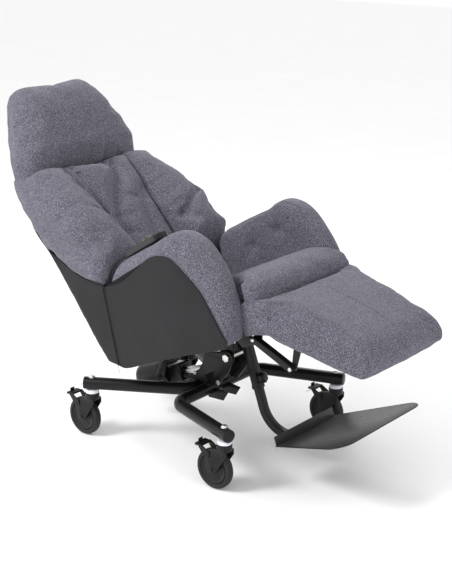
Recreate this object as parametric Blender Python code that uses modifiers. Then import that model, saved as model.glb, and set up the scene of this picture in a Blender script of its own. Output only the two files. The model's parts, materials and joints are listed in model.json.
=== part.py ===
"""Patient recliner chair on castors, with a tilting seat shell, a reclining back and a lifting leg rest.

Metres, +Z up. The chair faces -Y and the sitter's right is -X. The origin is on the floor, under the
centre of the chair's box. Everything above the base is drawn in the seat's own level frame, whose origin
is the tilt pivot, and an empty on that pivot leans it back to the resting tilt.
"""

import math

import bmesh
import bpy
from mathutils import Matrix, Vector

# Driving dimensions, in metres and radians.
TILT = math.radians(19)  # the seat shell leans back this far at rest
PIVOT = Vector((0, -0.110, 0.305))  # tilt pivot, on the base's tower
BACK_HINGE = Vector((0, 0.235, 0.140))  # seat frame
LEG_HINGE = Vector((0, -0.285, 0.136))  # seat frame
CLEARANCE = 0.0003  # left between pieces that touch

WHEEL_RADIUS = 0.0625
WHEEL_WIDTH = 0.026
TRAIL = 0.035  # castor axle behind its stem
PEDAL_HINGE = (0.048, 0.110)  # y and z, from the stem's foot
FRONT_STEM = (0.285, -0.290)
REAR_STEM = (0.240, 0.290)
TUBE_RADIUS = 0.020
TUBE_HEIGHT = 0.181  # centre of the base tubes above the floor
FRONT_BEND = (0.195, -0.027)
REAR_BEND = (0.084, FRONT_BEND[1] + 2 * TUBE_RADIUS + CLEARANCE)
TUBE_TOP = TUBE_HEIGHT + TUBE_RADIUS
COLLAR_BASE = 0.150

SHELL_HALF_WIDTH = 0.325  # outside the vinyl side panels, at the front
SHELL_REAR_HALF_WIDTH = 0.270
TAPER_START = -0.05  # the shell narrows behind this, as far as TAPER_END
TAPER_END = 0.39
SIDE_THICKNESS = 0.003
ARM_INNER = 0.216
ARM_GAP = 0.005  # from the shell's outside to the arm pad
RAIL_X = 0.190
RAIL_Z = 0.120
RAIL_SIDE = 0.025
QUADRANT_X = 0.178
STAY_X = 0.185
PLATE = 0.005
ACTUATOR_X = 0.100
FOOT_TUBE_Y = -0.050
FOOT_Z = -0.265  # underside of the footplate, seat frame
GUIDE_BOLT = Vector((0, -0.253, 0.070))  # leg rest's bolt in the quadrant's slot
STAY_FOOT = Vector((0, -0.360, -0.029))
LEG_LOWERING = math.radians(40)
TILT_ANCHOR = Vector((0, 0.020, 0.226))  # world, the tilt actuator's pin on the tower
TRUNNION = Vector((0, 0.300, -0.031))  # seat frame, the tilt actuator's trunnion
BACK_PIN = Vector((ACTUATOR_X, 0.247, 0.0863))
LEG_PIN = Vector((-ACTUATOR_X, -0.302, 0.088))

# colour, roughness, metallic
LOOKS = {
    "frame_black": ((0.018, 0.018, 0.020), 0.38, 0.2),
    "zinc": ((0.72, 0.72, 0.70), 0.32, 1.0),
    "nylon_white": ((0.80, 0.82, 0.86), 0.45, 0.0),
    "caster_black": ((0.020, 0.020, 0.022), 0.45, 0.0),
    "wheel_grey": ((0.060, 0.062, 0.066), 0.55, 0.0),
    "fabric_grey": ((0.210, 0.200, 0.235), 0.95, 0.0),
    "vinyl_charcoal": ((0.045, 0.045, 0.049), 0.55, 0.0),
    "board": ((0.35, 0.24, 0.14), 0.75, 0.0),
    "footplate_grey": ((0.055, 0.056, 0.058), 0.42, 0.2),
    "motor_black": ((0.012, 0.012, 0.013), 0.30, 0.0),
    "handset_grey": ((0.075, 0.077, 0.080), 0.42, 0.0),
    "button": ((0.48, 0.58, 0.12), 0.45, 0.0),
    "cable_black": ((0.012, 0.012, 0.012), 0.5, 0.0),
}


def clear_scene():
    for obj in list(bpy.data.objects):
        bpy.data.objects.remove(obj, do_unlink=True)


def new_collection(name):
    collection = bpy.data.collections.new(name)
    bpy.context.scene.collection.children.link(collection)
    return collection


def make_material(name):
    colour, roughness, metallic = LOOKS[name]
    material = bpy.data.materials.new(name)
    material.use_nodes = True
    shader = material.node_tree.nodes["Principled BSDF"]
    shader.inputs["Base Color"].default_value = (*colour, 1)
    shader.inputs["Roughness"].default_value = roughness
    shader.inputs["Metallic"].default_value = metallic
    material.diffuse_color = (*colour, 1)
    return material


clear_scene()
CHAIR = new_collection("patient_recliner_chair")
MATERIALS = {name: make_material(name) for name in LOOKS}


def axis_empty(name, location, parent=None, lean=0.0):
    """An empty on a joint's axis. Its children are drawn in the frame of its parent and keep that frame."""
    empty = bpy.data.objects.new(name, None)
    empty.empty_display_size = 0.05
    CHAIR.objects.link(empty)
    empty.parent = parent
    empty.location = location
    empty.rotation_euler = (-lean, 0, 0)
    return empty


def node(name, mesh, material, axis=None, offset=Vector((0, 0, 0)), smooth=True):
    """Puts the mesh in the chair as a named piece. Its points are drawn relative to offset's origin."""
    mesh.name = name
    mesh.materials.clear()
    mesh.materials.append(MATERIALS[material])
    if smooth:
        mesh.shade_smooth()
        mesh.set_sharp_from_angle(angle=math.radians(35))
    obj = bpy.data.objects.new(name, mesh)
    CHAIR.objects.link(obj)
    obj.parent = axis
    mesh.transform(Matrix.Translation(-offset))
    return obj


def mesh_of(bm):
    mesh = bpy.data.meshes.new("piece")
    bm.normal_update()
    bmesh.ops.recalc_face_normals(bm, faces=bm.faces)
    bm.to_mesh(mesh)
    bm.free()
    return mesh


def evaluated_mesh(obj):
    """The object's mesh with its modifiers applied and loose caps welded; the object is removed."""
    bpy.context.view_layer.update()
    mesh = bpy.data.meshes.new_from_object(obj.evaluated_get(bpy.context.evaluated_depsgraph_get()))
    mesh.transform(obj.matrix_world)
    bm = bmesh.new()
    bm.from_mesh(mesh)
    bmesh.ops.remove_doubles(bm, verts=bm.verts, dist=0.00001)
    bmesh.ops.recalc_face_normals(bm, faces=bm.faces)
    bm.to_mesh(mesh)
    bm.free()
    bpy.data.objects.remove(obj, do_unlink=True)
    return mesh


def temporary(mesh):
    obj = bpy.data.objects.new("temporary", mesh)
    bpy.context.scene.collection.objects.link(obj)
    return obj


def combined(mesh, others, operation):
    base = temporary(mesh)
    tools = [temporary(other) for other in others]
    for tool in tools:
        modifier = base.modifiers.new(operation.lower(), "BOOLEAN")
        modifier.operation = operation
        modifier.solver = "EXACT"
        modifier.object = tool
    result = evaluated_mesh(base)
    for tool in tools:
        bpy.data.objects.remove(tool, do_unlink=True)
    return result


def union(first, *others):
    return combined(first, others, "UNION")


def cut(mesh, *cutters):
    return combined(mesh, cutters, "DIFFERENCE")


def box(low, high, turn=None):
    """A box between two corners, turned about its own centre when turn is given."""
    low, high = Vector(low), Vector(high)
    bm = bmesh.new()
    bmesh.ops.create_cube(bm, size=1)
    place = Matrix.Translation((low + high) / 2)
    if turn is not None:
        place = place @ turn
    bm.transform(place @ Matrix.Diagonal((*(high - low), 1)))
    return mesh_of(bm)


def cylinder(start, end, radius, sides=16, end_radius=None):
    """A rod, or a cone when end_radius is given, between two points."""
    start, end = Vector(start), Vector(end)
    along = end - start
    bm = bmesh.new()
    bmesh.ops.create_cone(
        bm,
        cap_ends=True,
        segments=sides,
        radius1=radius,
        radius2=radius if end_radius is None else end_radius,
        depth=along.length,
    )
    turn = along.to_track_quat("Z", "Y").to_matrix().to_4x4()
    bm.transform(Matrix.Translation((start + end) / 2) @ turn)
    return mesh_of(bm)


def across(y, z, x_low, x_high, radius, sides=16):
    """A rod along X."""
    return cylinder((x_low, y, z), (x_high, y, z), radius, sides)


def slab(outline, x_low, x_high):
    """A flat outline of (y, z) points, as thick as from x_low to x_high."""
    curve = bpy.data.curves.new("outline", "CURVE")
    curve.dimensions = "2D"
    curve.fill_mode = "BOTH"
    curve.extrude = (x_high - x_low) / 2
    spline = curve.splines.new("POLY")
    spline.points.add(len(outline) - 1)
    for point, (y, z) in zip(spline.points, outline):
        point.co = (y, z, 0, 1)
    spline.use_cyclic_u = True
    obj = temporary(curve)
    # The curve's own X and Y become the chair's Y and Z, and its thickness runs along X.
    obj.matrix_world = Matrix(
        ((0, 0, 1, (x_low + x_high) / 2), (1, 0, 0, 0), (0, 1, 0, 0), (0, 0, 0, 1))
    )
    return evaluated_mesh(obj)


def tube(path, radius, sides=12, square=False):
    """A round tube along a path, or a square one of half-width radius."""
    curve = bpy.data.curves.new("path", "CURVE")
    curve.dimensions = "3D"
    curve.use_fill_caps = True
    curve.bevel_depth = radius * math.sqrt(2) if square else radius
    curve.bevel_resolution = 0 if square else (sides - 4) // 2
    spline = curve.splines.new("POLY")
    spline.points.add(len(path) - 1)
    for point, place in zip(spline.points, path):
        point.co = (*place, 1)
        point.tilt = math.pi / 4 if square else 0
    return evaluated_mesh(temporary(curve))


def arc(centre, radius, start, end, steps):
    """(y, z) points on a round stretch, angles in degrees from +Y towards +Z."""
    angles = [math.radians(start + (end - start) * i / steps) for i in range(steps + 1)]
    return [(centre[0] + radius * math.cos(a), centre[1] + radius * math.sin(a)) for a in angles]


def filleted(corners, radius, steps=6):
    """The path through the corners, with each inner corner rounded."""
    corners = [Vector(corner) for corner in corners]
    path = [corners[0]]
    for before, corner, after in zip(corners, corners[1:], corners[2:]):
        back, ahead = (before - corner).normalized(), (after - corner).normalized()
        half = back.angle(ahead) / 2
        centre = corner + (back + ahead).normalized() * (radius / math.sin(half))
        start = corner + back * (radius / math.tan(half)) - centre
        end = corner + ahead * (radius / math.tan(half)) - centre
        turn = start.angle(end)
        for i in range(steps + 1):
            share = i / steps
            mixed = start * math.sin((1 - share) * turn) + end * math.sin(share * turn)
            path.append(centre + mixed / math.sin(turn))
    return path + [corners[-1]]


def softened(mesh, width, segments=2):
    """Edges rounded by a bevel, for the soft pieces and the moulded ones."""
    obj = temporary(mesh)
    bevel = obj.modifiers.new("bevel", "BEVEL")
    bevel.width = width
    bevel.segments = segments
    bevel.limit_method = "ANGLE"
    bevel.angle_limit = math.radians(50)
    return evaluated_mesh(obj)


def shell_half_width(y):
    """Half the width over the vinyl, which narrows towards the back."""
    share = min(max((y - TAPER_START) / (TAPER_END - TAPER_START), 0), 1)
    return SHELL_HALF_WIDTH + (SHELL_REAR_HALF_WIDTH - SHELL_HALF_WIDTH) * share


def lofted(rings):
    """A closed solid through equal loops of points, flat at both ends."""
    bm = bmesh.new()
    loops = [[bm.verts.new(point) for point in ring] for ring in rings]
    for low, high in zip(loops, loops[1:]):
        for a, b, c, d in zip(low, low[1:] + low[:1], high[1:] + high[:1], high):
            bm.faces.new((a, b, c, d))
    bm.faces.new(loops[0])
    bm.faces.new(loops[-1])
    return mesh_of(bm)


def mirrored(mesh):
    other = mesh.copy()
    other.transform(Matrix.Diagonal((-1, 1, 1, 1)))
    other.flip_normals()
    return other


def turned_about(point, hinge, angle):
    """The point after the leg rest has gone down by angle."""
    return hinge + Matrix.Rotation(angle, 3, "X") @ (point - hinge)


# Base ---------------------------------------------------------------------------------------------


def base_tube(stem, bend, end_past_stem=0.024):
    """A bent tube from one stem to the other, through the cross-piece."""
    height = TUBE_HEIGHT
    leg = Vector((stem[0] - bend[0], stem[1] - bend[1], 0)).normalized() * end_past_stem
    end = Vector((*stem, height)) + leg
    corners = [
        (-end.x, end.y, height),
        (-bend[0], bend[1], height),
        (bend[0], bend[1], height),
        (end.x, end.y, height),
    ]
    bore = 0.0063
    pipe = tube(filleted(corners, 0.055), TUBE_RADIUS)
    holes = [
        cylinder((side * stem[0], stem[1], 0.14), (side * stem[0], stem[1], 0.22), bore)
        for side in (-1, 1)
    ]
    return pipe, holes


def build_base():
    pipe, holes = base_tube(FRONT_STEM, FRONT_BEND)
    gusset = slab(
        [(-0.012, 0.168), (-0.050, 0.185), (-0.098, 0.179), (-0.080, 0.150), (-0.022, 0.148)], -0.034, -0.029
    )
    node("base_front_tube", cut(union(pipe, gusset, mirrored(gusset)), *holes), "frame_black")
    pipe, holes = base_tube(REAR_STEM, REAR_BEND)
    node("base_rear_tube", cut(pipe, *holes), "frame_black")


def build_tower():
    foot = TUBE_TOP + CLEARANCE
    outline = (
        [(0.062, foot), (0.062, foot + 0.005)]
        + arc((0.078, 0.302), 0.097, 264, 180, 7)
        + arc((PIVOT.y, PIVOT.z), 0.022, 80, 200, 5)
        + [(-0.118, 0.262), (-0.074, foot)]
    )
    side = slab(outline, 0.047, 0.053)
    web = slab([(-0.047, foot), (-0.047, 0.262), (-0.041, 0.262), (-0.041, foot)], -0.0505, 0.0505)
    spread = cut(
        box((-0.105, -0.0465, foot), (0.105, -0.0415, 0.240)),
        box((-0.16, -0.06, 0.18), (-0.075, -0.03, 0.26), Matrix.Rotation(math.radians(-35), 4, "Y")),
        box((0.075, -0.06, 0.18), (0.16, -0.03, 0.26), Matrix.Rotation(math.radians(35), 4, "Y")),
    )
    pin = across(TILT_ANCHOR.y, TILT_ANCHOR.z, -0.056, 0.056, 0.004)
    tower = union(side, mirrored(side), web, spread, pin)
    hole = across(PIVOT.y, PIVOT.z, -0.07, 0.07, 0.0083)
    node("tilt_tower", cut(tower, hole), "frame_black")
    shaft = union(
        across(PIVOT.y, PIVOT.z, -0.058, 0.058, 0.008),
        across(PIVOT.y, PIVOT.z, -0.060, -0.0535, 0.013, 6),
        across(PIVOT.y, PIVOT.z, 0.0535, 0.060, 0.013, 6),
    )
    node("tilt_shaft", shaft, "zinc")


# Castors ------------------------------------------------------------------------------------------


def wheel_mesh():
    """A wheel turned about X from its bore out to the tread."""
    half = WHEEL_WIDTH / 2
    profile = [
        (0.0045, half),
        (0.015, half),
        (0.017, half - 0.006),
        (0.045, half - 0.006),
        (0.048, half - 0.001),
        (0.058, half - 0.001),
        (WHEEL_RADIUS, half - 0.007),
    ]
    ring = profile + [(radius, -x) for radius, x in reversed(profile)]
    bm = bmesh.new()
    points = [bm.verts.new((x, 0, radius)) for radius, x in ring]
    edges = [bm.edges.new((a, b)) for a, b in zip(points, points[1:] + points[:1])]
    bmesh.ops.spin(
        bm,
        geom=points + edges,
        axis=(1, 0, 0),
        cent=(0, 0, 0),
        angle=2 * math.pi,
        steps=32,
        use_merge=True,
    )
    bmesh.ops.remove_doubles(bm, verts=bm.verts, dist=0.00001)
    return mesh_of(bm)


def fork_mesh():
    """The swivelling fork: a crown under the collar, two arms, the axle and a brake stub on each arm."""
    arm = slab(
        [
            (-0.020, 0.132), (0.024, 0.132), (0.056, 0.112), (0.056, 0.085), (0.046, 0.050), (0.024, 0.050),
            (-0.020, 0.116),
        ],
        0.0160,
        0.0195,
    )
    crown = box((-0.0195, -0.020, 0.1275), (0.0195, 0.024, 0.1335))
    head = cylinder((0, 0, 0.129), (0, 0, COLLAR_BASE - CLEARANCE), 0.023, 20)
    axle = across(TRAIL, WHEEL_RADIUS, -0.022, 0.022, 0.0042, 12)
    stub = across(*PEDAL_HINGE, 0.0175, 0.0245, 0.0030, 12)
    bore = cylinder((0, 0, 0.126), (0, 0, 0.16), 0.0063, 16)
    return cut(union(crown, arm, mirrored(arm), head, axle, stub, mirrored(stub)), bore)


def pedal_mesh():
    """The brake pedal: a tread behind the fork, on two ears outside its arms."""
    outline = [(0.040, 0.102), (0.040, 0.118), (0.072, 0.136), (0.080, 0.128), (0.060, 0.102)]
    ear = slab(outline, 0.0200, 0.0235)
    tread = box((-0.0230, 0.070, 0.1285), (0.0230, 0.094, 0.1345))
    return cut(union(tread, ear, mirrored(ear)), across(*PEDAL_HINGE, -0.03, 0.03, 0.0033, 12))


def build_castors():
    wheel, fork, pedal = wheel_mesh(), fork_mesh(), pedal_mesh()
    collar_top = TUBE_HEIGHT - TUBE_RADIUS - CLEARANCE
    collar = cut(
        cylinder((0, 0, COLLAR_BASE), (0, 0, collar_top), 0.0215, 24),
        cylinder((0, 0, 0.14), (0, 0, 0.18), 0.0063, 16),
    )
    stem = union(
        cylinder((0, 0, 0.1345), (0, 0, TUBE_TOP + 0.003), 0.006, 16),
        cylinder((0, 0, TUBE_TOP + CLEARANCE), (0, 0, TUBE_TOP + 0.004), 0.0105, 16),
        cylinder((0, 0, TUBE_TOP + 0.0038), (0, 0, TUBE_TOP + 0.0075), 0.0095, 16, 0.0045),
    )
    corners = {
        "front_right": (-FRONT_STEM[0], FRONT_STEM[1]),
        "front_left": FRONT_STEM,
        "rear_right": (-REAR_STEM[0], REAR_STEM[1]),
        "rear_left": REAR_STEM,
    }
    for corner, (x, y) in corners.items():
        foot = axis_empty("swivel_" + corner, (x, y, 0))
        node("stem_" + corner, stem.copy(), "zinc", foot)
        node("collar_" + corner, collar.copy(), "nylon_white", foot)
        node("fork_" + corner, fork.copy(), "caster_black", foot)
        node("pedal_" + corner, pedal.copy(), "caster_black", foot)
        axle = axis_empty("axle_" + corner, (0, TRAIL, WHEEL_RADIUS), foot)
        node("wheel_" + corner, wheel.copy(), "wheel_grey", axle)


# Seat shell ---------------------------------------------------------------------------------------


def guide_slot():
    """The round slot that the leg rest's guide bolt runs in, centred on the leg rest's hinge."""
    reach = GUIDE_BOLT - LEG_HINGE
    radius = math.hypot(reach.y, reach.z)
    start = math.degrees(math.atan2(reach.z, reach.y))
    end = start + math.degrees(LEG_LOWERING)
    centre = (LEG_HINGE.y, LEG_HINGE.z)
    half, spare = 0.0050, 4.5
    outline = arc(centre, radius + half, start - spare, end + spare, 8)
    outline += arc(centre, radius - half, end + spare, start - spare, 8)
    return outline


def seat_frame_mesh():
    half = RAIL_SIDE / 2
    low, high = RAIL_Z - half, RAIL_Z + half
    rail = box((RAIL_X - half, -0.185, low), (RAIL_X + half, 0.275, high))
    parts = [rail, mirrored(rail)]
    for y in (-0.170, -0.040, 0.060, 0.205):
        parts.append(box((-RAIL_X, y - half, low + 0.001), (RAIL_X, y + half, high - 0.001)))
    hanger = slab(
        [(-0.048, 0.112), (0.066, 0.112), (0.019, 0.000)] + arc((0, 0), 0.019, -10, -170, 5) + [(-0.019, 0.000)],
        0.0375,
        0.0425,
    )
    quadrant = slab(
        [
            (-0.298, 0.122), (-0.298, 0.145), (-0.268, 0.145), (-0.262, 0.131), (-0.110, 0.131),
            (-0.150, 0.108), (-0.188, 0.048), (-0.262, 0.052), (-0.273, 0.076), (-0.268, 0.108),
        ],
        QUADRANT_X - PLATE / 2,
        QUADRANT_X + PLATE / 2,
    )
    quadrant = cut(quadrant, slab(guide_slot(), QUADRANT_X - 0.01, QUADRANT_X + 0.01))
    ear = slab([(0.205, 0.110), (0.272, 0.110), (0.252, 0.158), (0.218, 0.158)], 0.1725, 0.1785)
    stud = across(BACK_HINGE.y, BACK_HINGE.z, 0.150, 0.175, 0.007)
    trunnion_plate = slab(
        [
            (0.206, 0.112), (0.2165, 0.112), (0.232, 0.085), (0.268, 0.030), (0.318, -0.022), (0.312, -0.043),
            (0.288, -0.043), (0.262, 0.000), (0.206, 0.088),
        ],
        0.0525,
        0.0575,
    )
    trunnion_plate = cut(trunnion_plate, across(TRUNNION.y, TRUNNION.z, 0.04, 0.07, 0.0063))
    for piece in (hanger, quadrant, ear, stud, trunnion_plate):
        parts += [piece, mirrored(piece)]
    parts.append(across(LEG_HINGE.y, LEG_HINGE.z, -QUADRANT_X, QUADRANT_X, 0.005))
    frame = union(parts[0], *parts[1:])
    return cut(frame, across(0, 0, -0.06, 0.06, 0.0083))


def seat_cushion_mesh():
    body = slab(
        [
            (0.185, 0.1462), (-0.302, 0.1480), (-0.331, 0.164), (-0.337, 0.188), (-0.328, 0.222),
            (-0.300, 0.246), (-0.245, 0.257), (-0.150, 0.247), (0.000, 0.224), (0.165, 0.197),
        ],
        -0.212,
        0.212,
    )
    roll = slab(
        [(-0.292, 0.152), (-0.332, 0.166), (-0.338, 0.188), (-0.329, 0.221), (-0.301, 0.240), (-0.292, 0.240)],
        -0.240,
        0.240,
    )
    return softened(union(body, roll), 0.008, 2)


# The arm pad's crest seen from the side, and below it the same points where it meets the vinyl panel.
ARM_CREST = [
    (-0.250, 0.076), (-0.272, 0.120), (-0.277, 0.180), (-0.273, 0.240), (-0.258, 0.305), (-0.232, 0.362),
    (-0.195, 0.408), (-0.150, 0.430), (-0.107, 0.427), (-0.073, 0.4127), (0.121, 0.372), (0.170, 0.325),
    (0.160, 0.240), (0.150, 0.076),
]
ARM_SEAM = [
    (-0.248, 0.078), (-0.253, 0.115), (-0.236, 0.175), (-0.213, 0.240), (-0.180, 0.296), (-0.152, 0.332),
    (-0.130, 0.352), (-0.104, 0.364), (-0.080, 0.367), (-0.052, 0.364), (0.097, 0.315), (0.160, 0.308),
    (0.155, 0.240), (0.150, 0.078),
]
ARM_CENTRE = (-0.06, 0.22)


def arm_mesh():
    """An arm pad, rounded over its crest towards the seat and, more fully, towards the panel's seam."""
    centre_y, centre_z = ARM_CENTRE
    inner_edge = [(centre_y + (y - centre_y) * 0.90, centre_z + (z - centre_z) * 0.90) for y, z in ARM_CREST]
    crest_low, crest_high = 0.244, 0.262
    rings = []
    for degrees in (90, 55, 25, 0):
        angle = math.radians(degrees)
        x = crest_low - (crest_low - ARM_INNER) * math.sin(angle)
        rings.append(blended_ring(ARM_CREST, inner_edge, 1 - math.cos(angle), x))
    for degrees in (0, 25, 50, 72, 90):
        angle = math.radians(degrees)
        share = math.sin(angle)
        ring = blended_ring(ARM_CREST, ARM_SEAM, 1 - math.cos(angle), crest_high)
        for point in ring:
            point.x += (shell_half_width(point.y) - ARM_GAP - crest_high) * share
        rings.append(ring)
    return lofted(rings)


def blended_ring(outline, other, share, x):
    """The (y, z) outline part of the way to the other, at x."""
    return [Vector((x, y + (v - y) * share, z + (w - z) * share)) for (y, z), (v, w) in zip(outline, other)]


PANEL_OUTLINE = [
    (-0.256, 0.074), (-0.168, 0.073), (-0.050, 0.072), (0.043, 0.066), (0.178, 0.054), (0.2215, 0.062),
    (0.195, 0.312), (0.146, 0.311), (0.097, 0.317), (0.028, 0.341), (-0.050, 0.370), (-0.104, 0.367),
    (-0.137, 0.349), (-0.170, 0.309), (-0.208, 0.252), (-0.228, 0.201), (-0.250, 0.124), (-0.264, 0.093),
]


def draped(outline, inset, thickness):
    """A thin sheet over the outline, bent to the shell's plan, its outer face inset inside the shell."""
    bm = bmesh.new()
    bm.faces.new([bm.verts.new((0, y, z)) for y, z in outline])
    for bend in (TAPER_START, TAPER_END):
        bmesh.ops.bisect_plane(
            bm,
            geom=bm.verts[:] + bm.edges[:] + bm.faces[:],
            plane_co=(0, bend, 0),
            plane_no=(0, 1, 0),
            dist=0.00001,
        )
    for vert in bm.verts:
        vert.co.x = shell_half_width(vert.co.y) - inset
    for face in bm.faces:
        face.normal_update()
        if face.normal.x < 0:
            face.normal_flip()
    mesh = bpy.data.meshes.new("sheet")
    bm.to_mesh(mesh)
    bm.free()
    obj = temporary(mesh)
    solidify = obj.modifiers.new("solidify", "SOLIDIFY")
    solidify.thickness = thickness
    solidify.offset = -1
    return evaluated_mesh(obj)


def build_seat(seat):
    node("seat_frame", seat_frame_mesh(), "frame_black", seat)
    node("seat_board", box((-0.200, -0.260, 0.1330), (0.200, 0.195, 0.1450)), "board", seat)
    node("seat_cushion", seat_cushion_mesh(), "fabric_grey", seat)
    arm, panel = arm_mesh(), draped(PANEL_OUTLINE, 0, SIDE_THICKNESS)
    node("armrest_right", mirrored(arm), "fabric_grey", seat)
    node("armrest_left", arm, "fabric_grey", seat)
    node("side_panel_right", mirrored(panel), "vinyl_charcoal", seat)
    node("side_panel_left", panel, "vinyl_charcoal", seat)
    pull = slab([(0.2175, 0.070), (0.2245, 0.070), (0.2255, 0.044), (0.2190, 0.044)], 0.2955, 0.2975)
    node("zip_pull_right", mirrored(pull), "zinc", seat)
    node("zip_pull_left", pull, "zinc", seat)
    node("control_box", softened(box((-0.060, 0.085, 0.0650), (0.060, 0.205, 0.1075)), 0.004), "motor_black", seat)


# Back ---------------------------------------------------------------------------------------------

BACK_REAR = [(0.300, 0.098), (0.325, 0.150), (0.470, 0.548), (0.512, 0.625), (0.532, 0.690), (0.566, 0.930)]
BACK_REAR_HALF_WIDTH = [0.2695, 0.2695, 0.2650, 0.2600, 0.2320, 0.1500]
WING_ZIP_FOOT = (0.2225, 0.064)
WING_HEM = [(0.428, 0.463), (0.385, 0.420), (0.314, 0.364), (0.250, 0.332), (0.1965, 0.316)]


def back_cover_mesh():
    """The vinyl back: a rear sheet that turns forward into a wing on each side, inside the side panels."""
    thickness, inset = 0.003, 0.0050
    bm = bmesh.new()
    rows = []
    for (y, z), half_width in zip(BACK_REAR, BACK_REAR_HALF_WIDTH):
        half_width = min(half_width, shell_half_width(y) - inset)
        rows.append([bm.verts.new((x, y, z)) for x in (-half_width, half_width)])
    for low, high in zip(rows, rows[1:]):
        bm.faces.new((low[0], low[1], high[1], high[0]))
    for side in (0, 1):
        sign = (-1, 1)[side]
        hem = [
            bm.verts.new((sign * (shell_half_width(y) - inset), y, z)) for y, z in WING_HEM + [WING_ZIP_FOOT]
        ]
        bm.faces.new([rows[0][side], rows[1][side], rows[2][side], *hem])
    bmesh.ops.recalc_face_normals(bm, faces=bm.faces)
    mesh = bpy.data.meshes.new("cover")
    bm.to_mesh(mesh)
    bm.free()
    obj = temporary(mesh)
    solidify = obj.modifiers.new("solidify", "SOLIDIFY")
    solidify.thickness = thickness
    solidify.offset = 0
    solidify.use_even_offset = True
    return evaluated_mesh(obj)


def back_frame_mesh():
    """A bent tube up both sides of the back, on sleeves at the hinge, with the actuator's lever."""
    foot, side = 0.160, 0.135
    rear = [
        (foot, BACK_HINGE.y, BACK_HINGE.z + 0.008), (foot, 0.285, 0.172), (side, 0.318, 0.245), (side, 0.455, 0.630),
    ]
    path = filleted(rear + [(-x, y, z) for x, y, z in reversed(rear)], 0.030, 3)
    hoop = tube(path, 0.010, 8)
    sleeve = across(BACK_HINGE.y, BACK_HINGE.z, 0.1520, 0.1710, 0.0145)
    rail = across(0.2880, 0.1745, -foot, foot, 0.008, 12)
    lever = slab(
        [(0.294, 0.184), (0.276, 0.180), (0.236, 0.094)] + arc((BACK_PIN.y, BACK_PIN.z), 0.010, 190, 340, 4),
        ACTUATOR_X + 0.006,
        ACTUATOR_X + 0.011,
    )
    pin = across(BACK_PIN.y, BACK_PIN.z, ACTUATOR_X - 0.006, ACTUATOR_X + 0.008, 0.004, 12)
    frame = union(hoop, sleeve, mirrored(sleeve), rail, lever, pin)
    bores = [across(BACK_HINGE.y, BACK_HINGE.z, low, low + 0.1, 0.0074) for low in (-0.2, 0.1)]
    return cut(frame, *bores)


BACK_CUSHION_OUTLINE = [
    (0.178, 0.214), (0.292, 0.212), (0.410, 0.560), (0.440, 0.683), (0.392, 0.683), (0.330, 0.560),
    (0.255, 0.400), (0.190, 0.285),
]
BOLSTER_OUTLINE = [
    (0.192, 0.316), (0.222, 0.320), (0.314, 0.362), (0.383, 0.417), (0.420, 0.462), (0.450, 0.530),
    (0.477, 0.600), (0.506, 0.650), (0.510, 0.685), (0.392, 0.685), (0.345, 0.655), (0.290, 0.604),
    (0.218, 0.520), (0.165, 0.452), (0.130, 0.404), (0.134, 0.390),
]
# Height, half-width, front and rear of the head cushion at each of its levels.
HEAD_LEVELS = [
    (0.688, 0.240, 0.416, 0.524), (0.697, 0.250, 0.405, 0.527), (0.760, 0.247, 0.409, 0.534),
    (0.830, 0.228, 0.421, 0.544), (0.890, 0.200, 0.433, 0.553), (0.940, 0.176, 0.450, 0.557),
    (0.970, 0.160, 0.470, 0.552), (0.986, 0.140, 0.495, 0.536),
]
HEAD_FRONT_ROUND, HEAD_REAR_ROUND = 0.045, 0.014


def head_mesh():
    """The head cushion, narrower towards its top, its front edges rounder than its rear ones."""
    rings = []
    for z, half_width, front, rear in HEAD_LEVELS:
        front_round = min(HEAD_FRONT_ROUND, (rear - front) * 0.55)
        rear_round = min(HEAD_REAR_ROUND, (rear - front) * 0.3)
        plan = []
        for centre, radius, start in (
            ((half_width - rear_round, rear - rear_round), rear_round, 0),
            ((-half_width + rear_round, rear - rear_round), rear_round, 90),
            ((-half_width + front_round, front + front_round), front_round, 180),
            ((half_width - front_round, front + front_round), front_round, 270),
        ):
            plan += arc(centre, radius, start, start + 90, 3)
        rings.append([Vector((x, y, z)) for x, y in plan])
    return lofted(rings)


def bolster_mesh():
    """A side bolster. Its outer side follows the shell's plan inside the vinyl, behind the armrest."""
    mesh = softened(slab(BOLSTER_OUTLINE, 0.148, 0.2600), 0.016, 2)
    for vert in mesh.vertices:
        outer = min(max((vert.co.x - 0.190) / 0.070, 0), 1)
        behind_arm = min(max((vert.co.y - 0.170) / 0.030, 0), 1)
        vert.co.x += outer * behind_arm * max(shell_half_width(vert.co.y) - 0.0115 - 0.260, 0)
    return mesh


def build_back(back):
    offset = BACK_HINGE
    node("back_frame", back_frame_mesh(), "frame_black", back, offset)
    node("back_cover", back_cover_mesh(), "vinyl_charcoal", back, offset)
    cushion = softened(slab(BACK_CUSHION_OUTLINE, -0.146, 0.146), 0.010, 2)
    node("back_cushion", cushion, "fabric_grey", back, offset)
    bolster = bolster_mesh()
    node("bolster_right", mirrored(bolster), "fabric_grey", back, offset)
    node("bolster_left", bolster, "fabric_grey", back, offset)
    node("head_cushion", head_mesh(), "fabric_grey", back, offset)


# Leg rest and foot rest ----------------------------------------------------------------------------

PAD_REAR = Vector((0, -0.345, 0.067))
PAD_FRONT = Vector((0, -0.5267, -0.046))
PAD_OUTLINE = [
    (PAD_REAR.y, PAD_REAR.z), (-0.335, 0.176), (-0.400, 0.150), (-0.500, 0.086), (-0.592, 0.012), (-0.620, -0.020),
    (-0.632, -0.054), (-0.622, -0.082), (-0.600, -0.090), (PAD_FRONT.y, PAD_FRONT.z),
]


def leg_pad_mesh():
    bm = bmesh.new()
    bm.from_mesh(slab(PAD_OUTLINE, -0.240, 0.240))
    for vert in bm.verts:
        vert.co.x *= 1 - 0.14 * (PAD_REAR.y - vert.co.y) / 0.287
    return softened(mesh_of(bm), 0.014, 2)


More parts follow.
